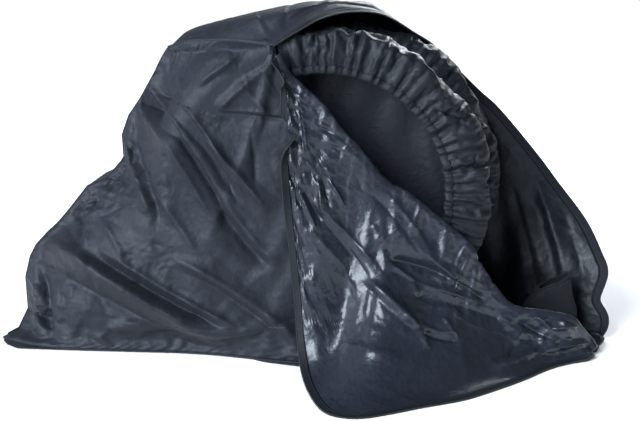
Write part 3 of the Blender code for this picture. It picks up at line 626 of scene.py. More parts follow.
WEAVE = {"weave": 0.0009, "weave_deep": 0.00002}     # the coated side hides its weave
MATT = {"specular": 0.28, "weave": 0.0009}
OUTSIDE = fabric("outside_cloth", (0.0119, 0.0144, 0.0225), 0.58, sheen=0.03,
                 crumple=((0.030, 0.0020, 0.35), (0.011, 0.0007, 0.5)), **MATT)
INSIDE = fabric("coated_inside", (0.0125, 0.0155, 0.0250), 0.33, coat=0.12, coat_rough=0.20,
                specular=0.55, patchy=0.16,
                crumple=((0.034, 0.0014, 0.6), (0.012, 0.0012, 0.6), (0.005, 0.0004, 0.5)), **WEAVE)
# painted shade: a darker copy of the coated inside cloth, standing in for the shade that falls on the far
# panel's inside within the bag
SHADED = fabric("coated_inside_painted_shade", (0.0062, 0.0076, 0.0120), 0.42, specular=0.32, patchy=0.16,
                crumple=((0.034, 0.0014, 0.6), (0.012, 0.0006, 0.6)), **WEAVE)
COVER = fabric("wheel_cover_cloth", (0.0088, 0.0106, 0.0163), 0.58, sheen=0.02,
               crumple=((0.016, 0.0016, 0.5), (0.007, 0.0005, 0.4)), **MATT)
HEM_CLOTH = fabric("elastic_hem", (0.0085, 0.0100, 0.0155), 0.66, sheen=0.03, specular=0.3,
                   weave=0.0012, weave_deep=0.0001, crumple=((0.006, 0.0007, 0.3),))
TAPE_CLOTH = fabric("zip_tape_cloth", (0.0072, 0.0089, 0.0138), 0.70, specular=0.22, weave=0.0011,
                    weave_deep=0.00012, crumple=((0.02, 0.0004, 0.1),), patchy=0.08)
COIL = fabric("zip_coil", (0.012, 0.014, 0.019), 0.42, weave=0.002, weave_deep=0.00002, patchy=0.06)
THREAD = fabric("thread", (0.018, 0.021, 0.030), 0.60, weave=0.0006, weave_deep=0.00008, patchy=0.1)
PAD = fabric("padded_cloth", (0.007, 0.008, 0.011), 0.86, sheen=0.04, specular=0.3, weave=0.0013,
             weave_deep=0.00012, crumple=((0.022, 0.0010, 0.1),), patchy=0.12)


# ---------------------------------------------------------------- near panel
# the near wheel cover, as it holds the cloth out
DRUM_RIM_Y = -0.066      # y at its rim
DRUM_DEEP = 0.073        # how much further forward its face is
DRUM_FACE = 0.310        # radius of its face
DRUM_ROUND = 0.056       # width over which that rounds off to the rim
DRUM_RIM = 0.366         # radius of the rim


def drum_front(x, z):
    """How far forward the near wheel cover holds the cloth out, as a y."""
    _, centre_x, _, centre_z, flat_top = WHEELS[0]
    r = np.hypot(x - centre_x, z - centre_z)
    r = r + flat_top * np.maximum(0.0, (z - centre_z) / np.maximum(r, 0.05)) ** 2
    share = 1.0 - (np.maximum(0.0, r - DRUM_FACE) / DRUM_ROUND) ** 2
    return np.where(r < DRUM_RIM, DRUM_RIM_Y - DRUM_DEEP * np.sqrt(np.clip(share, 0, 1)), 0.0)


def near_lines(v):
    """The fold's crest, the way across it, the door's free edge and the left outline."""
    crest = spline(CREST, v)
    steps = np.linspace(0, 1, 201)
    met = np.pad(look(DOOR_SHARE, steps, 1), 8, mode="reflect", reflect_type="odd")
    met = np.convolve(met, np.ones(17) / 17, mode="valid")
    door = spline(DOOR, np.interp(v, steps, met))
    left_z = FLOOR + (crest[:, 2] - CREST[0][2]) * (LEFT[-1][0] - FLOOR) / (CREST[-1][2] - CREST[0][2])
    left = np.stack([look(LEFT, left_z, 1), look(LEFT, left_z, 2) - SEAM_GAP, left_z], axis=1)
    left += ease((left_z - 0.575) / 0.045)[:, None] * np.array([0.0030, -0.0030, -0.0030])
    along = np.gradient(crest, axis=0)
    across = np.stack([along[:, 2], np.zeros(len(v)), -along[:, 0]], axis=1)
    return crest, soften(unit(across), 3), door, left


def near_wall_grid(v, left, near_end, cols):
    """The wall from its left outline to the fold, over the wheel cover behind it."""
    s = np.linspace(0.0, 1.0, cols)
    s = 0.35 * s ** 2 + 0.65 * s
    x = left[:, 0:1] + (near_end[:, 0:1] - left[:, 0:1]) * s
    z = left[:, 2:3] + (near_end[:, 2:3] - left[:, 2:3]) * s
    z[0] = FLOOR + (near_end[0, 2] - FLOOR) * ease((s - 0.93) / 0.07)
    hem_y = look(NEAR_HEM, x, 1)
    # NEAR_WALL gives the depth at three stations along the bag
    a, b, c = (look(NEAR_WALL, z, k) for k in (1, 2, 3))
    wall_y = np.where(x < -0.10, a + (b - a) * ease((x + 0.45) / 0.35), b + (c - b) * ease((x + 0.10) / 0.45))
    y = hem_y + (wall_y - hem_y) * ease((z - FLOOR) / 0.11)
    reach = x - left[:, 0:1]
    width = 0.050 + 0.055 * ease(z / 0.30)
    round_off = 1.0 - np.exp(-(reach / width) ** 1.25)
    y = left[:, 1:2] + (y - left[:, 1:2]) * round_off
    y = y + (near_end[:, 1:2] - y[:, -1:]) * ease((s - 0.62) / 0.38)
    drum = drum_front(x, z)
    for _ in range(int(6 * (cols / 25.0) ** 2)):
        y = np.minimum(y, drum)
        y[:, 1:-1] = 0.25 * y[:, :-2] + 0.5 * y[:, 1:-1] + 0.25 * y[:, 2:]
    y = np.minimum(y, drum)
    # the last rows run into the top seam
    top = spline(np.vstack([SEAM, near_end[-1] + UNDER_SEAM]), cols) - UNDER_SEAM
    top[0] = left[-1]
    top[1] = 0.5 * (top[0] + top[2])
    top[-1] = near_end[-1]
    w = ease((v - 0.86) / 0.14)[:, None]
    x = x + (top[None, :, 0] - x) * w
    y = y + (top[None, :, 1] - y) * w
    z = z + (top[None, :, 2] - z) * w
    y[v < 0.98] = np.minimum(y, drum + 0.002)[v < 0.98]
    wall = np.stack([x, y, z], axis=2)
    mx, mz = on_mid_plane(wall)
    guard = ease(reach / 0.05) * ease((z - FLOOR) / 0.02) * (1 - w) * (1 - ease((s - 0.9) / 0.1))
    wall[:, :, 1] -= fold_lift(mx, mz, NEAR_FOLDS) * guard
    guard = ease(reach / 0.10) * ease((z - FLOOR) / 0.08) * (1 - w) * ease((1 - s) / 0.25)
    wall[:, :, 1] -= STAND_OFF * guard
    return wall


def door_columns(start, across, door, count):
    """Columns of the door, which hangs from the fold and spreads on the floor."""
    span = door - start
    size = np.linalg.norm(span, axis=1, keepdims=True)
    lying = 1.0 - ease((door[:, 2:3] - 0.012) / 0.075)
    handle1 = start - across * size * 0.24 + np.array([0, -0.05, -0.04]) * size
    inward = -span / size
    flat = unit(np.stack([inward[:, 0], inward[:, 1], inward[:, 2] * 0.06], axis=1))
    side = np.stack([inward[:, 0], inward[:, 1] - 0.22, inward[:, 2] * 0.7], axis=1)
    handle2 = door + unit(flat * lying + side * (1 - lying)) * size * 0.40
    columns = []
    for k in range(1, count + 1):
        t = k / count
        columns.append(start * (1 - t) ** 3 + handle1 * 3 * t * (1 - t) ** 2
                       + handle2 * 3 * t ** 2 * (1 - t) + door * t ** 3)
    return columns


def near_panel(v, left_cols, bend_cols, flap_cols):
    """Middle surface of the near panel, of the rolled fold and of the door."""
    crest, across, door, left = near_lines(v)
    near_end = crest - across * FOLD_R + np.array([0, FOLD_R, 0])
    wall = near_wall_grid(v, left, near_end, left_cols)
    bend = []
    for k in range(1, bend_cols + 1):
        angle = math.pi * k / bend_cols
        bend.append(crest + across * FOLD_R * (math.sin(angle) - 1.0)
                    + np.array([0, FOLD_R * math.cos(angle), 0]))
    flap = door_columns(bend[-1], across, door, flap_cols)
    grid = np.concatenate([wall, np.stack(bend + flap, axis=1)], axis=1)
    first = left_cols + bend_cols
    part = grid[:, first - 1:]
    mx, mz = on_mid_plane(part)
    t = np.linspace(0, 1, part.shape[1])[None, :]
    guard = ease(t / 0.12) * ease((1 - t) / 0.15) * ease(v / 0.10)[:, None] * ease((1 - v) / 0.10)[:, None]
    part = part + facing_normals(part) * (fold_lift(mx, mz, DOOR_FOLDS) * guard)[..., None]
    part[..., 2] = np.maximum(part[..., 2], LYING)
    grid[:, first:] = part[:, 1:]
    return grid


# ----------------------------------------------------------------- far panel
def far_panel(u, v):
    """Middle surface of the panel that goes up the far side and over the top."""
    def outline(height):
        """The left outline, a little behind the near panel's edge."""
        low = 1.0 - ease((height - 0.03) / 0.03)
        return np.stack([look(LEFT, height, 1) + 0.003 * low,
                         look(LEFT, height, 2) + 0.0014 + 0.0060 * low, height], axis=1)

    # how far up each level is: on the left outline, on the free edge, and over the sections
    heights = np.array([FLOOR, 0.12, 0.26, 0.39, 0.48, 0.53, 0.57, 0.603, 0.633])
    edge_levels = np.array([0.0, 0.105, 0.235, 0.37, 0.50, 0.61, 0.715, 0.87, 1.0])
    level_keys = np.array([0, 0.15, 0.32, 0.49, 0.64, 0.73, 0.81, 0.91, 1.0])
    columns = [outline(heights)]
    for foot_x, wall_y, rx, ry, rz, sx, sy, sz, share in FAR_SECTIONS:
        column = [(foot_x, float(look(FAR_HEM, foot_x, 1)), FLOOR)]
        for part, height, inset in ((0.12, 0.12, -0.002), (0.35, 0.30, -0.004),
                                    (0.60, 0.48, -0.001), (0.84, 0.63, 0.006)):
            column.append((foot_x + (rx - foot_x) * part, wall_y - inset, height * rz / RIDGE))
        column.append((foot_x + (rx - foot_x) * 0.95, wall_y + (ry - wall_y) * 0.22, rz - 0.022))
        column += [(rx, ry, rz), (sx, sy, sz)]
        column.append(tuple(spline(SEAM, [share])[0]))
        columns.append(column)
    d = run_lengths(FAR_EDGE)
    d = d / d[-1]
    columns.append(spline(FAR_EDGE, edge_levels, d))
    net = np.asarray([np.asarray(c, float) for c in columns])       # station, level
    lengths = np.linalg.norm(np.diff(net[:, 2:6].mean(axis=1), axis=0), axis=1) \
        + 0.5 * np.linalg.norm(np.diff(net[:, 0], axis=0), axis=1)
    keys = np.concatenate([[0], np.cumsum(lengths)])
    keys = keys / keys[-1]
    rows = np.stack([spline(net[:, k], u, keys) for k in range(len(heights))])     # level, u
    grid = np.stack([spline(rows[:, i], v, level_keys) for i in range(len(u))], axis=1)
    # the boundaries follow their tables exactly
    exact = outline(grid[:, 0, 2])
    grid += (exact - grid[:, 0])[:, None, :] * (1 - ease(u / 0.22))[None, :, None]
    exact = spline(FAR_EDGE, np.interp(v, level_keys, edge_levels), d)
    grid += (exact - grid[:, -1])[:, None, :] * ease((u - 0.80) / 0.20)[None, :, None]
    share = np.interp(u, keys, [0.0] + [row[-1] for row in FAR_SECTIONS] + [1.0])
    exact = spline(SEAM, share)
    exact[0] = grid[-1, 0]
    grid += (exact - grid[-1])[None, :, :] * ease((v - 0.88) / 0.12)[:, None, None]
    grid[0, :, 2] = FLOOR
    grid[0, :, 1] = np.where(u < 0.02, grid[0, :, 1], look(FAR_HEM, grid[0, :, 0], 1))
    fade = ease(u / 0.08)[None, :] * ease((1 - u) / 0.08)[None, :] \
        * ease(v / 0.05)[:, None] * ease((0.66 - v) / 0.08)[:, None]
    grid[..., 1] += fold_lift(grid[..., 0], grid[..., 2], FAR_FOLDS) * fade
    return grid


# -------------------------------------------------------------- cloth pieces
def clear_of(part, behind, gap):
    """Move points forward where they are less than a gap in front of a sheet."""
    tree = BVHTree.FromPolygons(behind.reshape(-1, 3).tolist(), grid_faces(*behind.shape[:2]))
    moved = part.copy()
    for spot in moved.reshape(-1, 3):
        hit = tree.ray_cast(Vector((spot[0], -2.0, spot[2])), -Vector(FORWARD))[0]
        if hit is not None:
            spot[1] = min(spot[1], hit[1] - gap)
    return moved


def inner_share(count, first, last):
    """0 at both ends of a run of points, 1 further in."""
    t = np.linspace(0.0, 1.0, count)
    return ease(t / first) * ease((1.0 - t) / last)


def ironed(p, share, times):
    """Even out a grid of points, where its share is 1 rather than 0."""
    share = 0.5 * share[1:-1, 1:-1, None]
    q = p.copy()
    for _ in range(times):
        mean = 0.25 * (q[:-2, 1:-1] + q[2:, 1:-1] + q[1:-1, :-2] + q[1:-1, 2:])
        q[1:-1, 1:-1] += share * (mean - q[1:-1, 1:-1])
    return q


def unturned(p, way):
    """Even out the few places where creases have turned a cloth over."""
    turned = (np.sum(facing_normals(p) * way, axis=2) < 0.25).astype(float)
    everywhere = np.ones(turned.shape)
    turned = ironed(turned[..., None], everywhere, 4)[..., 0]
    return ironed(p, np.clip(3.0 * turned, 0.0, 1.0), 8)


def dress_wall(wall, v):
    """Let the near wall go slack, crease it, and keep it in front of the wheel cover."""
    rows, cols = WALL_GRID
    s = np.linspace(0, 1, cols)
    side = ease(s / 0.05) * ease((1 - s) / 0.10)
    top = ease((1 - v) / 0.06)[:, None]
    free = inner_share(rows, 0.02, 0.04)[:, None] * inner_share(cols, 0.03, 0.02)[None, :]
    wall = wall + crumpled(wall, free=free, **WALL_SLACK)
    mx, mz = on_mid_plane(wall)
    height = ease((wall[..., 2] - FLOOR) / 0.025)
    strewn = crinkles(NEAR_CRINKLES, CRINKLE_SEEDS["wall"])
    lift = WALL_DEEPER[0] * sharp_lift(mx, mz, NEAR_CREASES) + WALL_DEEPER[1] * sharp_lift(mx, mz, strewn)
    smooth = facing_normals(ironed(wall, np.ones(mx.shape), 12))
    way = unit(smooth * ease((0.85 - s) / 0.25)[None, :, None] + 0.8 * FORWARD)
    wall = unturned(wall + way * (lift * height * side * top)[..., None], smooth)
    held_out = np.minimum(0.0, drum_front(wall[..., 0], wall[..., 2]) - OFF_DRUM - wall[..., 1])
    wall[..., 1] += held_out * ease((1 - v) / 0.03)[:, None]
    return wall


def dress_door(part, v, wall):
    """Even out, let go slack and crease the rolled fold and the door, off the wall."""
    t = np.linspace(0, 1, part.shape[1])[None, :]
    turn, spread, times = DOOR_TURN
    turning = np.exp(-((v - turn) / spread) ** 2)[:, None]
    part = ironed(part, turning * ease((t - 0.08) / 0.10) * ease((1 - t) / 0.06), times)
    part = ironed(part, np.ones(turning.shape) * ease((t - 0.08) / 0.10) * ease((1 - t) / 0.04), 10)
    free = inner_share(len(v), 0.02, 0.03)[:, None] * inner_share(t.size, 0.06, 0.03)[None, :]
    hanging = 0.05 + 0.95 * ease((part[..., 2] - 0.040) / 0.140)
    part = part + crumpled(part, free=free, **DOOR_SLACK) * hanging[..., None]
    mx, mz = on_mid_plane(part)
    guard = ease((t - 0.03) / 0.09) * ease((1 - t) / 0.04) * ease(v / 0.04)[:, None] \
        * ease((1 - v) / 0.06)[:, None]
    smooth = facing_normals(ironed(part, np.ones(mx.shape), 10))
    strewn = crinkles(DOOR_CRINKLES, CRINKLE_SEEDS["door"])
    lift = DOOR_DEEPER[0] * sharp_lift(mx, mz, DOOR_CREASES) + DOOR_DEEPER[1] * sharp_lift(mx, mz, strewn)
    part = unturned(part + smooth * (lift * guard)[..., None], smooth)
    part[..., 2] = np.maximum(part[..., 2], LAID)
    loose = clear_of(part, wall, OFF_WALL) - part
    return part + loose * inner_share(t.size, 0.08, 0.02)[None, :, None]


def dress_near():
    """The near wall, and the door with its rolled fold, as one cloth."""
    v = np.linspace(0, 1, WALL_GRID[0])
    grid = near_panel(v, WALL_GRID[1], *DOOR_GRID)
    grid[:, :WALL_GRID[1]] = dress_wall(grid[:, :WALL_GRID[1]], v)
    door = dress_door(grid[:, WALL_GRID[1] - 1:], v, grid[:, :WALL_GRID[1]])
    grid[:, WALL_GRID[1]:] = door[:, 1:]
    return grid


NEAR = dress_near()
WALL = NEAR[:, :WALL_GRID[1]]
DOOR_CLOTH = NEAR[:, WALL_GRID[1] - 1:]
near_wall = cloth_piece("near_wall_cloth", WALL, CLOTH, (OUTSIDE, INSIDE), ("front_panel",))
door = cloth_piece("door_cloth", DOOR_CLOTH, CLOTH, (OUTSIDE, INSIDE), ("front_panel",))

U = np.linspace(0, 1, FAR_GRID[0])      # stations of the far panel
VF = np.linspace(0, 1, FAR_GRID[1])     # its levels


def dress_far():
    """The far side and the top, creased, let go slack and sewn to the near wall."""
    grid = far_panel(U, VF)
    fade = ease(U / 0.06)[None, :] * ease((1 - U) / 0.05)[None, :] \
        * ease(VF / 0.05)[:, None] * ease((1 - VF) / 0.06)[:, None]
    n = normals(grid)
    on_top = ease((VF - 0.66) / 0.08)[:, None]
    lift = sharp_lift(grid[..., 0], grid[..., 2], crinkles(FAR_CRINKLES, CRINKLE_SEEDS["far"]))
    lift = lift + sharp_lift(grid[..., 0], grid[..., 2], FAR_CREASES) * (1.0 - on_top)
    mx, mz = on_mid_plane(grid)
    lift = lift + sharp_lift(mx, mz, TOP_CREASES) * on_top
    grid = grid + n * (lift * fade)[..., None]
    free = inner_share(FAR_GRID[0], 0.03, 0.03)[None, :] \
        * inner_share(FAR_GRID[1], 0.03, 0.03)[:, None]
    # calmer on the top and at the right end
    calm = 1.0 - 0.8 * ease((VF - 0.45) / 0.15)[:, None, None]
    calm = calm * (1.0 - 0.7 * ease((U - 0.70) / 0.15))[None, :, None]
    grid = grid + crumpled(grid, free=free, **FAR_SLACK) * calm
    edge = WALL[:, 0]
    sewn = np.stack([np.interp(grid[:, 0, 2], edge[:, 2], edge[:, k]) for k in range(3)], axis=1)
    return grid + (sewn - grid[:, 0])[:, None, :] * ease(1.0 - U / 0.03)[None, :, None]


FAR = dress_far()
# the far panel's inside gets the painted-shade copy of the coated inside cloth
back = cloth_piece("back_cloth", FAR, CLOTH, (SHADED, OUTSIDE), ("back_panel",))


# ------------------------------------------------------------------ zip tapes
def tape_grid(panel, wide):
    """Five lines along the last column of a panel, in line with its cloth."""
    edge, normal = panel[:, -1], normals(panel)[:, -1]
    step = max(1, panel.shape[1] // 16)
    out = 1.5 * edge - 2.0 * panel[:, -1 - step] + 0.5 * panel[:, -1 - 2 * step]
    along = unit(np.gradient(edge, axis=0))
    for way in (along, normal):
        out = out - way * np.sum(out * way, axis=1, keepdims=True)
    soft = soften(unit(out), 40)
    soft = unit(soft - along * np.sum(soft * along, axis=1, keepdims=True))
    # where the floor is in its way, it turns up
    lift = np.maximum(0.0, TAPE / 2 + 0.0006 - (edge + soft * wide[:, None])[:, 2])
    soft[:, 2] += lift / wide
    soft = unit(soft)
    first = edge + soft * JOIN
    lines = [first + soft * (wide * share)[:, None] for share in (0.0, 0.25, 0.5, 0.75, 1.0)]
    return np.stack(lines, axis=1), np.cross(along, soft)


def blocks(name, line, out, normal, pitch, size, made, offset=0.0):
    """A row of small rounded blocks along a line: zip teeth or stitches."""
    length = run_lengths(line)
    count = int(length[-1] / pitch)
    at = (np.arange(count) + 0.5) * pitch
    pick = [np.stack([np.interp(at, length, q[:, k]) for k in range(3)], axis=1)
            for q in (line, out, normal)]
    ahead = np.stack([np.interp(np.minimum(at + pitch / 2, length[-1]), length, line[:, k])
                      for k in range(3)], axis=1) - pick[0]
    ahead = ahead / np.maximum(np.linalg.norm(ahead, axis=1, keepdims=True), 1e-9)
    corners = [(sx * f, sy * f, sz) for sz, f in ((-1, 1.0), (0.4, 1.0), (1, 0.6))
               for sx, sy in ((-1, -1), (1, -1), (1, 1), (-1, 1))]
    verts = np.stack([pick[0] + pick[2] * offset + ahead * (a * size[0] / 2)
                      + pick[1] * (b * size[1] / 2) + pick[2] * (c * size[2] / 2)
                      for a, b, c in corners], axis=1)
    one = [(3, 2, 1, 0), (8, 9, 10, 11)]
    for low in (0, 4):
        one += [(low + k, low + (k + 1) % 4, low + 4 + (k + 1) % 4, low + 4 + k) for k in range(4)]
    faces = [tuple(12 * n + k for k in face) for n in range(count) for face in one]
    ob = mesh_object(name, verts.reshape(-1, 3), faces, (made,))
    settle(ob)
    return ob


def dress_tape(name, node, panel, wide):
    """One half of the zip: woven tape, its teeth, and its sewing on both faces."""
    grid, up = tape_grid(panel, wide)
    tape = cloth_piece(name, grid, TAPE, (TAPE_CLOTH,), (node,))
    out = unit(grid[:, -1] - grid[:, 0])
    parts = [blocks(name + "_teeth", grid[:, -1] - out * TEETH_IN, out, up, TEETH_PITCH, TOOTH,
                    COIL)]
    for ending, side in (("_sewing", up), ("_sewing_under", -up)):
        parts.append(blocks(name + ending, grid[:, 0] + out * SEWN_IN, out, side, STITCH_PITCH, STITCH,
                            THREAD, TAPE / 2 + 0.0002))
    return tape, parts


v = np.linspace(0, 1, WALL_GRID[0])
wide = TAPE_WIDE * (0.55 + 0.45 * ease(v / 0.06)) * (0.45 + 0.55 * ease((1 - v) / 0.08))
door_tape, door_tape_parts = dress_tape("door_tape", "door_zip_tape", NEAR, wide)
wide = TAPE_WIDE * (0.35 + 0.65 * ease((1 - VF) / 0.08))
back_tape, back_tape_parts = dress_tape("back_tape", "back_zip_tape", FAR, wide)


# ----------------------------------------------------------------- base panel
BASE_X = (-0.683, 0.588)    # its ends, before the right one is bent to BASE_END
BENT_FROM = 0.520           # x where that bending starts


def dress_base():
    """The base, flat on the floor with slight ripples, its right end as in its table."""
    rows, cols = BASE_GRID
    xs = np.linspace(*BASE_X, cols)
    near_y, far_y = look(NEAR_HEM, xs, 1) - 0.001, look(FAR_HEM, xs, 1) + 0.001
    share = np.linspace(0, 1, rows)[:, None]
    p = np.stack([np.repeat(xs[None, :], rows, axis=0), near_y + (far_y - near_y) * share,
                  np.full((rows, cols), 0.001)], axis=2)
    bent = ease((p[..., 0] - BENT_FROM) / (xs[-1] - BENT_FROM))
    p[..., 0] += (look(BASE_END, p[..., 1], 1) - xs[-1]) * bent
    ripple = 0.0006 * np.sin(p[..., 0] * 61 + 3 * np.sin(p[..., 1] * 37)) * np.sin(p[..., 1] * 83)
    p[..., 2] += (ripple + 0.0006) * (ease(share / 0.15) * ease((1 - share) / 0.15))
    return p


base = cloth_piece("base_cloth", dress_base(), CLOTH, (INSIDE, OUTSIDE), ("base_panel",))

# --------------------------------------------------------------- wheel covers
# pleats drawn up by the elastic: number round the hem, share, phase
GATHER_SETS = ((43, 0.40, 0.3), (67, 0.45, 1.7), (101, 0.30, 0.9), (19, 0.35, 2.6))


def gather(angles, turn):
    """Uneven pleats round a wheel cover, from -1 to 1, with pointed crests."""
    total = np.zeros_like(angles)
    for number, share, phase in GATHER_SETS:
        total += share * np.cos(number * angles + phase + turn + 1.3 * np.sin(3 * angles + phase))
    return np.sign(total) * np.abs(total) ** 0.8


def dress_wheel(name, node, centre_x, back_y, centre_z, flat_top, turn, around):
    """A round cover: its back, its puffed side, and its gathered hem."""
    angles = np.arange(around) * 2 * math.pi / around
    section = np.vstack([(0.006, 0.0), WHEEL_SECTION])
    keys = np.concatenate([np.linspace(0, 0.40, 9), np.linspace(0.42, 1.0, 49)])
    rings = []
    profile = spline(np.column_stack([section, np.zeros(len(section))]), keys)
    pleats, puffs = gather(angles, turn), gather(angles * 0.5 + 1.0, turn)
    for radius, depth, _ in profile:
        near_hem = ease((depth - 0.020) / 0.050)
        on_side = ease((radius - 0.300) / 0.02) * (1 - near_hem)
        bulge = 0.0042 * near_hem * pleats + 0.0020 * on_side * puffs
        folds = 0.0035 * ease((0.27 - radius) / 0.05) * ease(radius / 0.10) * ease(1 - depth / 0.01) \
            * np.sin(radius * np.cos(angles) * 70 + 1.5 * np.sin(radius * np.sin(angles) * 18 + turn))
        trim = flat_top * np.maximum(0.0, np.sin(angles)) ** 2 * ease((radius - 0.2) / 0.12)
        r = radius - trim + 0.35 * bulge
        rings.append(np.stack([centre_x + r * np.cos(angles),
                               back_y - depth - bulge + folds,
                               centre_z + r * np.sin(angles)], axis=1))
    p = np.stack(rings)
    round_way = np.tile(angles * 0.32, (len(profile), 1))
    deep_way = np.tile(run_lengths(profile[:, :2])[:, None], (1, around))
    rim_row = int(np.argmax(profile[:, 0] > 0.306))
    reach = deep_way - deep_way[rim_row, 0]
    strewn = crinkles(COVER_CRINKLES, CRINKLE_SEEDS["cover"] + int(10 * turn))
    creased = sharp_lift(round_way, reach, strewn)
    p[..., 1] -= creased * ease(reach / 0.03) * ease((reach.max() - reach) / 0.008)
    part = p[rim_row:]
    free = inner_share(len(part), 0.20, 0.10)[:, None] * np.ones((1, around))
    part += crumpled(part, free=free, **COVER_SLACK)
    p[..., 1] = np.maximum(p[..., 1], back_y - 0.0885)
    p[..., 2] = np.maximum(p[..., 2], LYING)
    cover = cloth_piece(name, p, CLOTH, (COVER, COVER), (node,), closed=True, pole=True)
    # the elastic in its hem: a flat casing with fine ruffles
    ruffle = 0.0008 * np.cos(140 * angles + 2 * np.sin(9 * angles)) + 0.0006 * pleats
    lip = p[-1]
    outward = np.stack([np.cos(angles), np.zeros(around), np.sin(angles)], axis=1)
    casing = []
    for k in range(14):
        turn_k = 2 * math.pi * k / 14
        wide, deep = 0.0085 * math.cos(turn_k), 0.0030 * math.sin(turn_k)
        casing.append(lip + outward * (wide + 0.002 + ruffle[:, None] * 0.5)
                      + np.array([0, -1.0, 0]) * (deep * (1 + 0.5 * math.copysign(1, deep))
                                                  + ruffle[:, None] * 1.2 + 0.0015))
    ring = np.stack(casing + casing[:1])
    ring_faces = grid_faces(15, around, closed=True)
    hem = mesh_object(name + "_hem", ring.reshape(-1, 3), ring_faces, (HEM_CLOTH,),
                      cut_sizes(ring).reshape(-1, 2))
    settle(hem)
    line = np.vstack([lip, lip[:1]]) + np.vstack([outward, outward[:1]]) * 0.0085 \
        + np.array([0, -0.0052, 0]) - np.array([0, 1.2, 0]) * np.append(ruffle, ruffle[0])[:, None]
    side = np.vstack([outward, outward[:1]])
    sewing = blocks(name + "_sewing", line, side, np.tile(FORWARD, (around + 1, 1)), 0.0040,
                    (0.0028, 0.0007, 0.0006), THREAD)
    return cover, hem, sewing


for number, (node, *place) in enumerate(WHEELS):
    dress_wheel(node.replace("wheel_cover", "cover_cloth"), node, *place,
                              turn=number * 1.1, around=COVER_COLUMNS[number])


# ---------------------------------------------------------------- fork pocket
def pocket_rings(count, around):
    """Rings of the fork pocket, from the middle of its bottom to its mouth."""
    angles = np.arange(around) * 2 * math.pi / around
    keys = np.linspace(0, 1, count)
    profile = np.stack([np.interp(keys, np.linspace(0, 1, len(POCKET)), POCKET[:, k])
                        for k in range(5)], axis=1)
    rings = [(POCKET_FLOOR, *POCKET[0, 1:4], 0.0, share) for share in (0.15, 0.5, 0.8, 0.93)]
    rings += [tuple(r) + (1.0,) for r in profile]
    out = []
    for height, low_x, high_x, half_depth, slant, share in rings:
        cx, half = (low_x + high_x) / 2, (high_x - low_x) / 2
        cosine, sine = np.cos(angles), np.sin(angles)
        px = np.sign(cosine) * np.abs(cosine) ** 0.72
        py = np.sign(sine) * np.abs(sine) ** 0.72
        puff = 0.0018 * np.sin(height * 95 + 2 * cosine) * np.cos(3 * angles + 1)
        out.append(np.stack([cx + half * share * px + puff * cosine,
                             POCKET_Y + half_depth * share * py + puff * sine,
                             height + slant * cosine], axis=1))
    return np.stack(out)


def tube(name, line, radius, made, sides=8, closed=False):
    """A round tube along a line, for a seam or a binding."""
    along = np.gradient(line, axis=0)
    if closed:
        along = np.roll(line, -1, axis=0) - np.roll(line, 1, axis=0)
    along = unit(along)
    side = unit(np.cross(along, np.array((0.13, 0.31, 0.94))))
    up = np.cross(side, along)
    around = [2 * math.pi * k / sides for k in range(sides)]
    p = np.stack([line + side * (radius * math.cos(a)) + up * (radius * math.sin(a))
                  for a in around], axis=1)
    count = len(line)
    verts = p.reshape(-1, 3)
    faces = []
    for j in range(count if closed else count - 1):
        for k in range(sides):
            a, b = j * sides + k, j * sides + (k + 1) % sides
            c, d = (b + sides) % (count * sides), (a + sides) % (count * sides)
            faces.append((a, d, c, b))
    if not closed:
        faces += [tuple(range(sides)), tuple(reversed(range((count - 1) * sides, count * sides)))]
    ob = mesh_object(name, verts, faces, (made,))
    settle(ob)
    return ob


POCKET_GRID = pocket_rings(44, 120)
pocket = cloth_piece("fork_pocket_pad", POCKET_GRID, 0.003, (PAD, PAD), ("fork_pocket",),
                     closed=True, pole=True)
tube("fork_pocket_binding", POCKET_GRID[-1] + 0.0006 * UP, 0.0027, PAD,
     sides=10, closed=True)
rim = np.vstack([POCKET_GRID[-4], POCKET_GRID[-4][:1]])
blocks("fork_pocket_sewing", rim, np.tile(UP, (len(rim), 1)), unit(rim - rim.mean(axis=0)),
       STITCH_PITCH, STITCH, THREAD, 0.0017)

# ---------------------------------------------------------------------- seams
outline = np.vstack([WALL[1:, 0], WALL[-1, 1:-1]])
outline_seam = tube("outline_seam", outline + 0.5 * UNDER_SEAM, 0.0017, OUTSIDE)
for name, line in (("hem_seam", WALL[0, 1:-6]), ("far_hem_seam", FAR[0, 3:-3])):
    tube(name, line * (1, 1, 0) + 0.0024 * UP, 0.0016, OUTSIDE)
hem_row = WALL[4, 3:-8]
hem_sewing = blocks("hem_sewing", hem_row, np.tile(UP, (len(hem_row), 1)),
                    np.tile(FORWARD, (len(hem_row), 1)), STITCH_PITCH, STITCH,
                    THREAD, CLOTH / 2 + 0.0003)


# ----------------------------------------------------------------- zip slider
def cast_metal():
    """Dark grained metal of the zip's slider."""
    made = bpy.data.materials.new("slider_metal_cast")
    made.use_nodes = True
    tree = made.node_tree
    shader = tree.nodes["Principled BSDF"]
    shader.inputs["Metallic"].default_value = 0.9
    place = add(tree, "ShaderNodeTexCoord").outputs["Object"]
    grain = add(tree, "ShaderNodeTexNoise", {"Vector": place, "Scale": 900.0, "Detail": 4.0})
    rough = add(tree, "ShaderNodeMapRange", {"Value": grain.outputs["Fac"], "To Min": 0.22, "To Max": 0.48})
    tree.links.new(rough.outputs[0], shader.inputs["Roughness"])
    shade = add(tree, "ShaderNodeMapRange", {"Value": grain.outputs["Fac"], "To Min": 0.02, "To Max": 0.06})
    tint = add(tree, "ShaderNodeMix", {"Factor": 1.0, "A": (0.62, 0.78, 1.0, 1.0), "B": shade.outputs[0]},
               data_type="RGBA", blend_type="MULTIPLY")
    tree.links.new(tint.outputs["Result"], shader.inputs["Base Color"])
    bump = add(tree, "ShaderNodeBump", {"Height": grain.outputs["Fac"], "Distance": 0.00006})
    tree.links.new(bump.outputs["Normal"], shader.inputs["Normal"])
    return made


METAL = cast_metal()


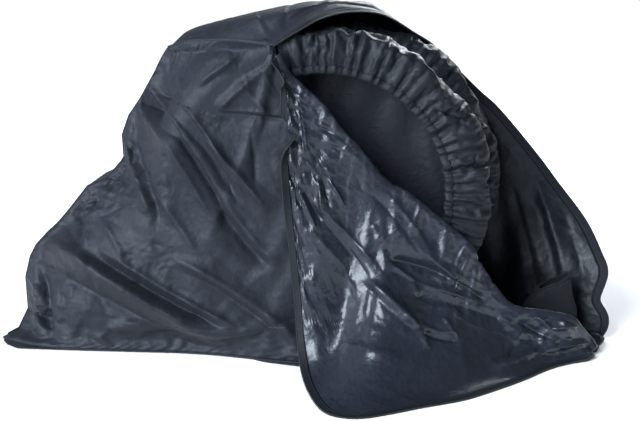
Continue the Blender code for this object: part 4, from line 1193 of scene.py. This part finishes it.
def rounded_box(name, size, place, tilt=0.0, taper=1.0):
    """A box of the slider's metal, narrower or wider below, with rounded edges."""
    mesh = bpy.data.meshes.new(name)
    bm = bmesh.new()
    bmesh.ops.create_cube(bm, size=1.0)
    bmesh.ops.scale(bm, vec=size, verts=bm.verts)
    low = [w for w in bm.verts if w.co.z < 0]
    bmesh.ops.scale(bm, vec=(taper, 1.0, 1.0), verts=low)
    bm.to_mesh(mesh)
    bm.free()
    mesh.materials.append(METAL)
    mesh.shade_smooth()
    ob = bpy.data.objects.new(name, mesh)
    collection.objects.link(ob)
    ob.location = to_frame(place)
    ob.rotation_euler = (tilt, 0.0, 0.25)
    edges = ob.modifiers.new("edges", "BEVEL")
    edges.width = min(size) * 0.28
    edges.segments = 3
    settle(ob)
    return ob


SLIDER_AT = SEAM[-1] - (0.002, 0.0085, 0.004)
slider_body = rounded_box("slider_body", SLIDER, SLIDER_AT, taper=0.62)
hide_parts("zip_slider")
rounded_box("slider_bridge", BRIDGE, SLIDER_AT + (0, -0.0032, 0.0))
rounded_box("slider_pull", PULL, SLIDER_AT + (0.0003, -0.0050, -0.0060), tilt=0.10, taper=1.15)

# --------------------------------------------------------------- area of the base, worked out and not kept
area_of(dress_base())

# ------------------------------------------------------- floor, light, camera
HALF_FLOOR = 25.0
FLOOR_COLOUR = (0.97, 0.965, 0.965, 1.0)
SKY_COLOUR = (0.86, 0.93, 1.0, 1.0)
SKY_STRENGTH = 0.17
CAMERA_AIM = (0.0, 0.0, 0.2808)
CAMERA_LENS = 83.72      # in millimetres, on a sensor 36 mm wide
floor_mesh = bpy.data.meshes.new("studio_floor")
floor_mesh.from_pydata([tuple(to_frame((sx * HALF_FLOOR, sy * HALF_FLOOR, -0.0002)))
                        for sx, sy in ((-1, -1), (1, -1), (1, 1), (-1, 1))], [], [(0, 1, 2, 3)])
studio_floor = bpy.data.objects.new("studio_floor", floor_mesh)
bpy.context.scene.collection.objects.link(studio_floor)
paper = bpy.data.materials.new("floor_paper")
paper.use_nodes = True
paper.node_tree.nodes["Principled BSDF"].inputs["Base Color"].default_value = FLOOR_COLOUR
paper.node_tree.nodes["Principled BSDF"].inputs["Roughness"].default_value = 0.9
floor_mesh.materials.append(paper)

world = bpy.data.worlds.new("studio")
world.use_nodes = True
world.node_tree.nodes["Background"].inputs["Color"].default_value = SKY_COLOUR
world.node_tree.nodes["Background"].inputs["Strength"].default_value = SKY_STRENGTH
bpy.context.scene.world = world


def aimed(ob, place, aim):
    """Put a light or the camera in its place, and turn it to what it looks at."""
    bpy.context.scene.collection.objects.link(ob)
    ob.location = to_frame(place)
    ob.rotation_euler = (Vector(to_frame(aim)) - ob.location).to_track_quat("-Z", "Y").to_euler()
    return ob


def light(name, kind, place, aim, power, **settings):
    """A light, aimed at a point."""
    data = bpy.data.lights.new(name, kind)
    data.energy = power
    for key, value in settings.items():
        setattr(data, key, value)
    aimed(bpy.data.objects.new(name, data), place, aim)


light("sky", "SUN", (-1.8, -1.8, 1.26), (0.0, 0.0, 0.0), 7.0, angle=math.radians(46),
      color=(0.97, 0.985, 1.0))
light("back", "AREA", (0.9, 2.8, 1.9), (0.0, 0.1, 0.25), 130.0, shape="RECTANGLE", size=1.2,
      size_y=1.2, color=(0.90, 0.95, 1.0))

camera_data = bpy.data.cameras.new("camera")
camera_data.lens = CAMERA_LENS
camera_data.sensor_width = 36.0
camera_data.clip_end = 100.0
bpy.context.scene.camera = aimed(bpy.data.objects.new("camera", camera_data), VIEW, CAMERA_AIM)
bpy.context.scene.view_settings.view_transform = "Standard"
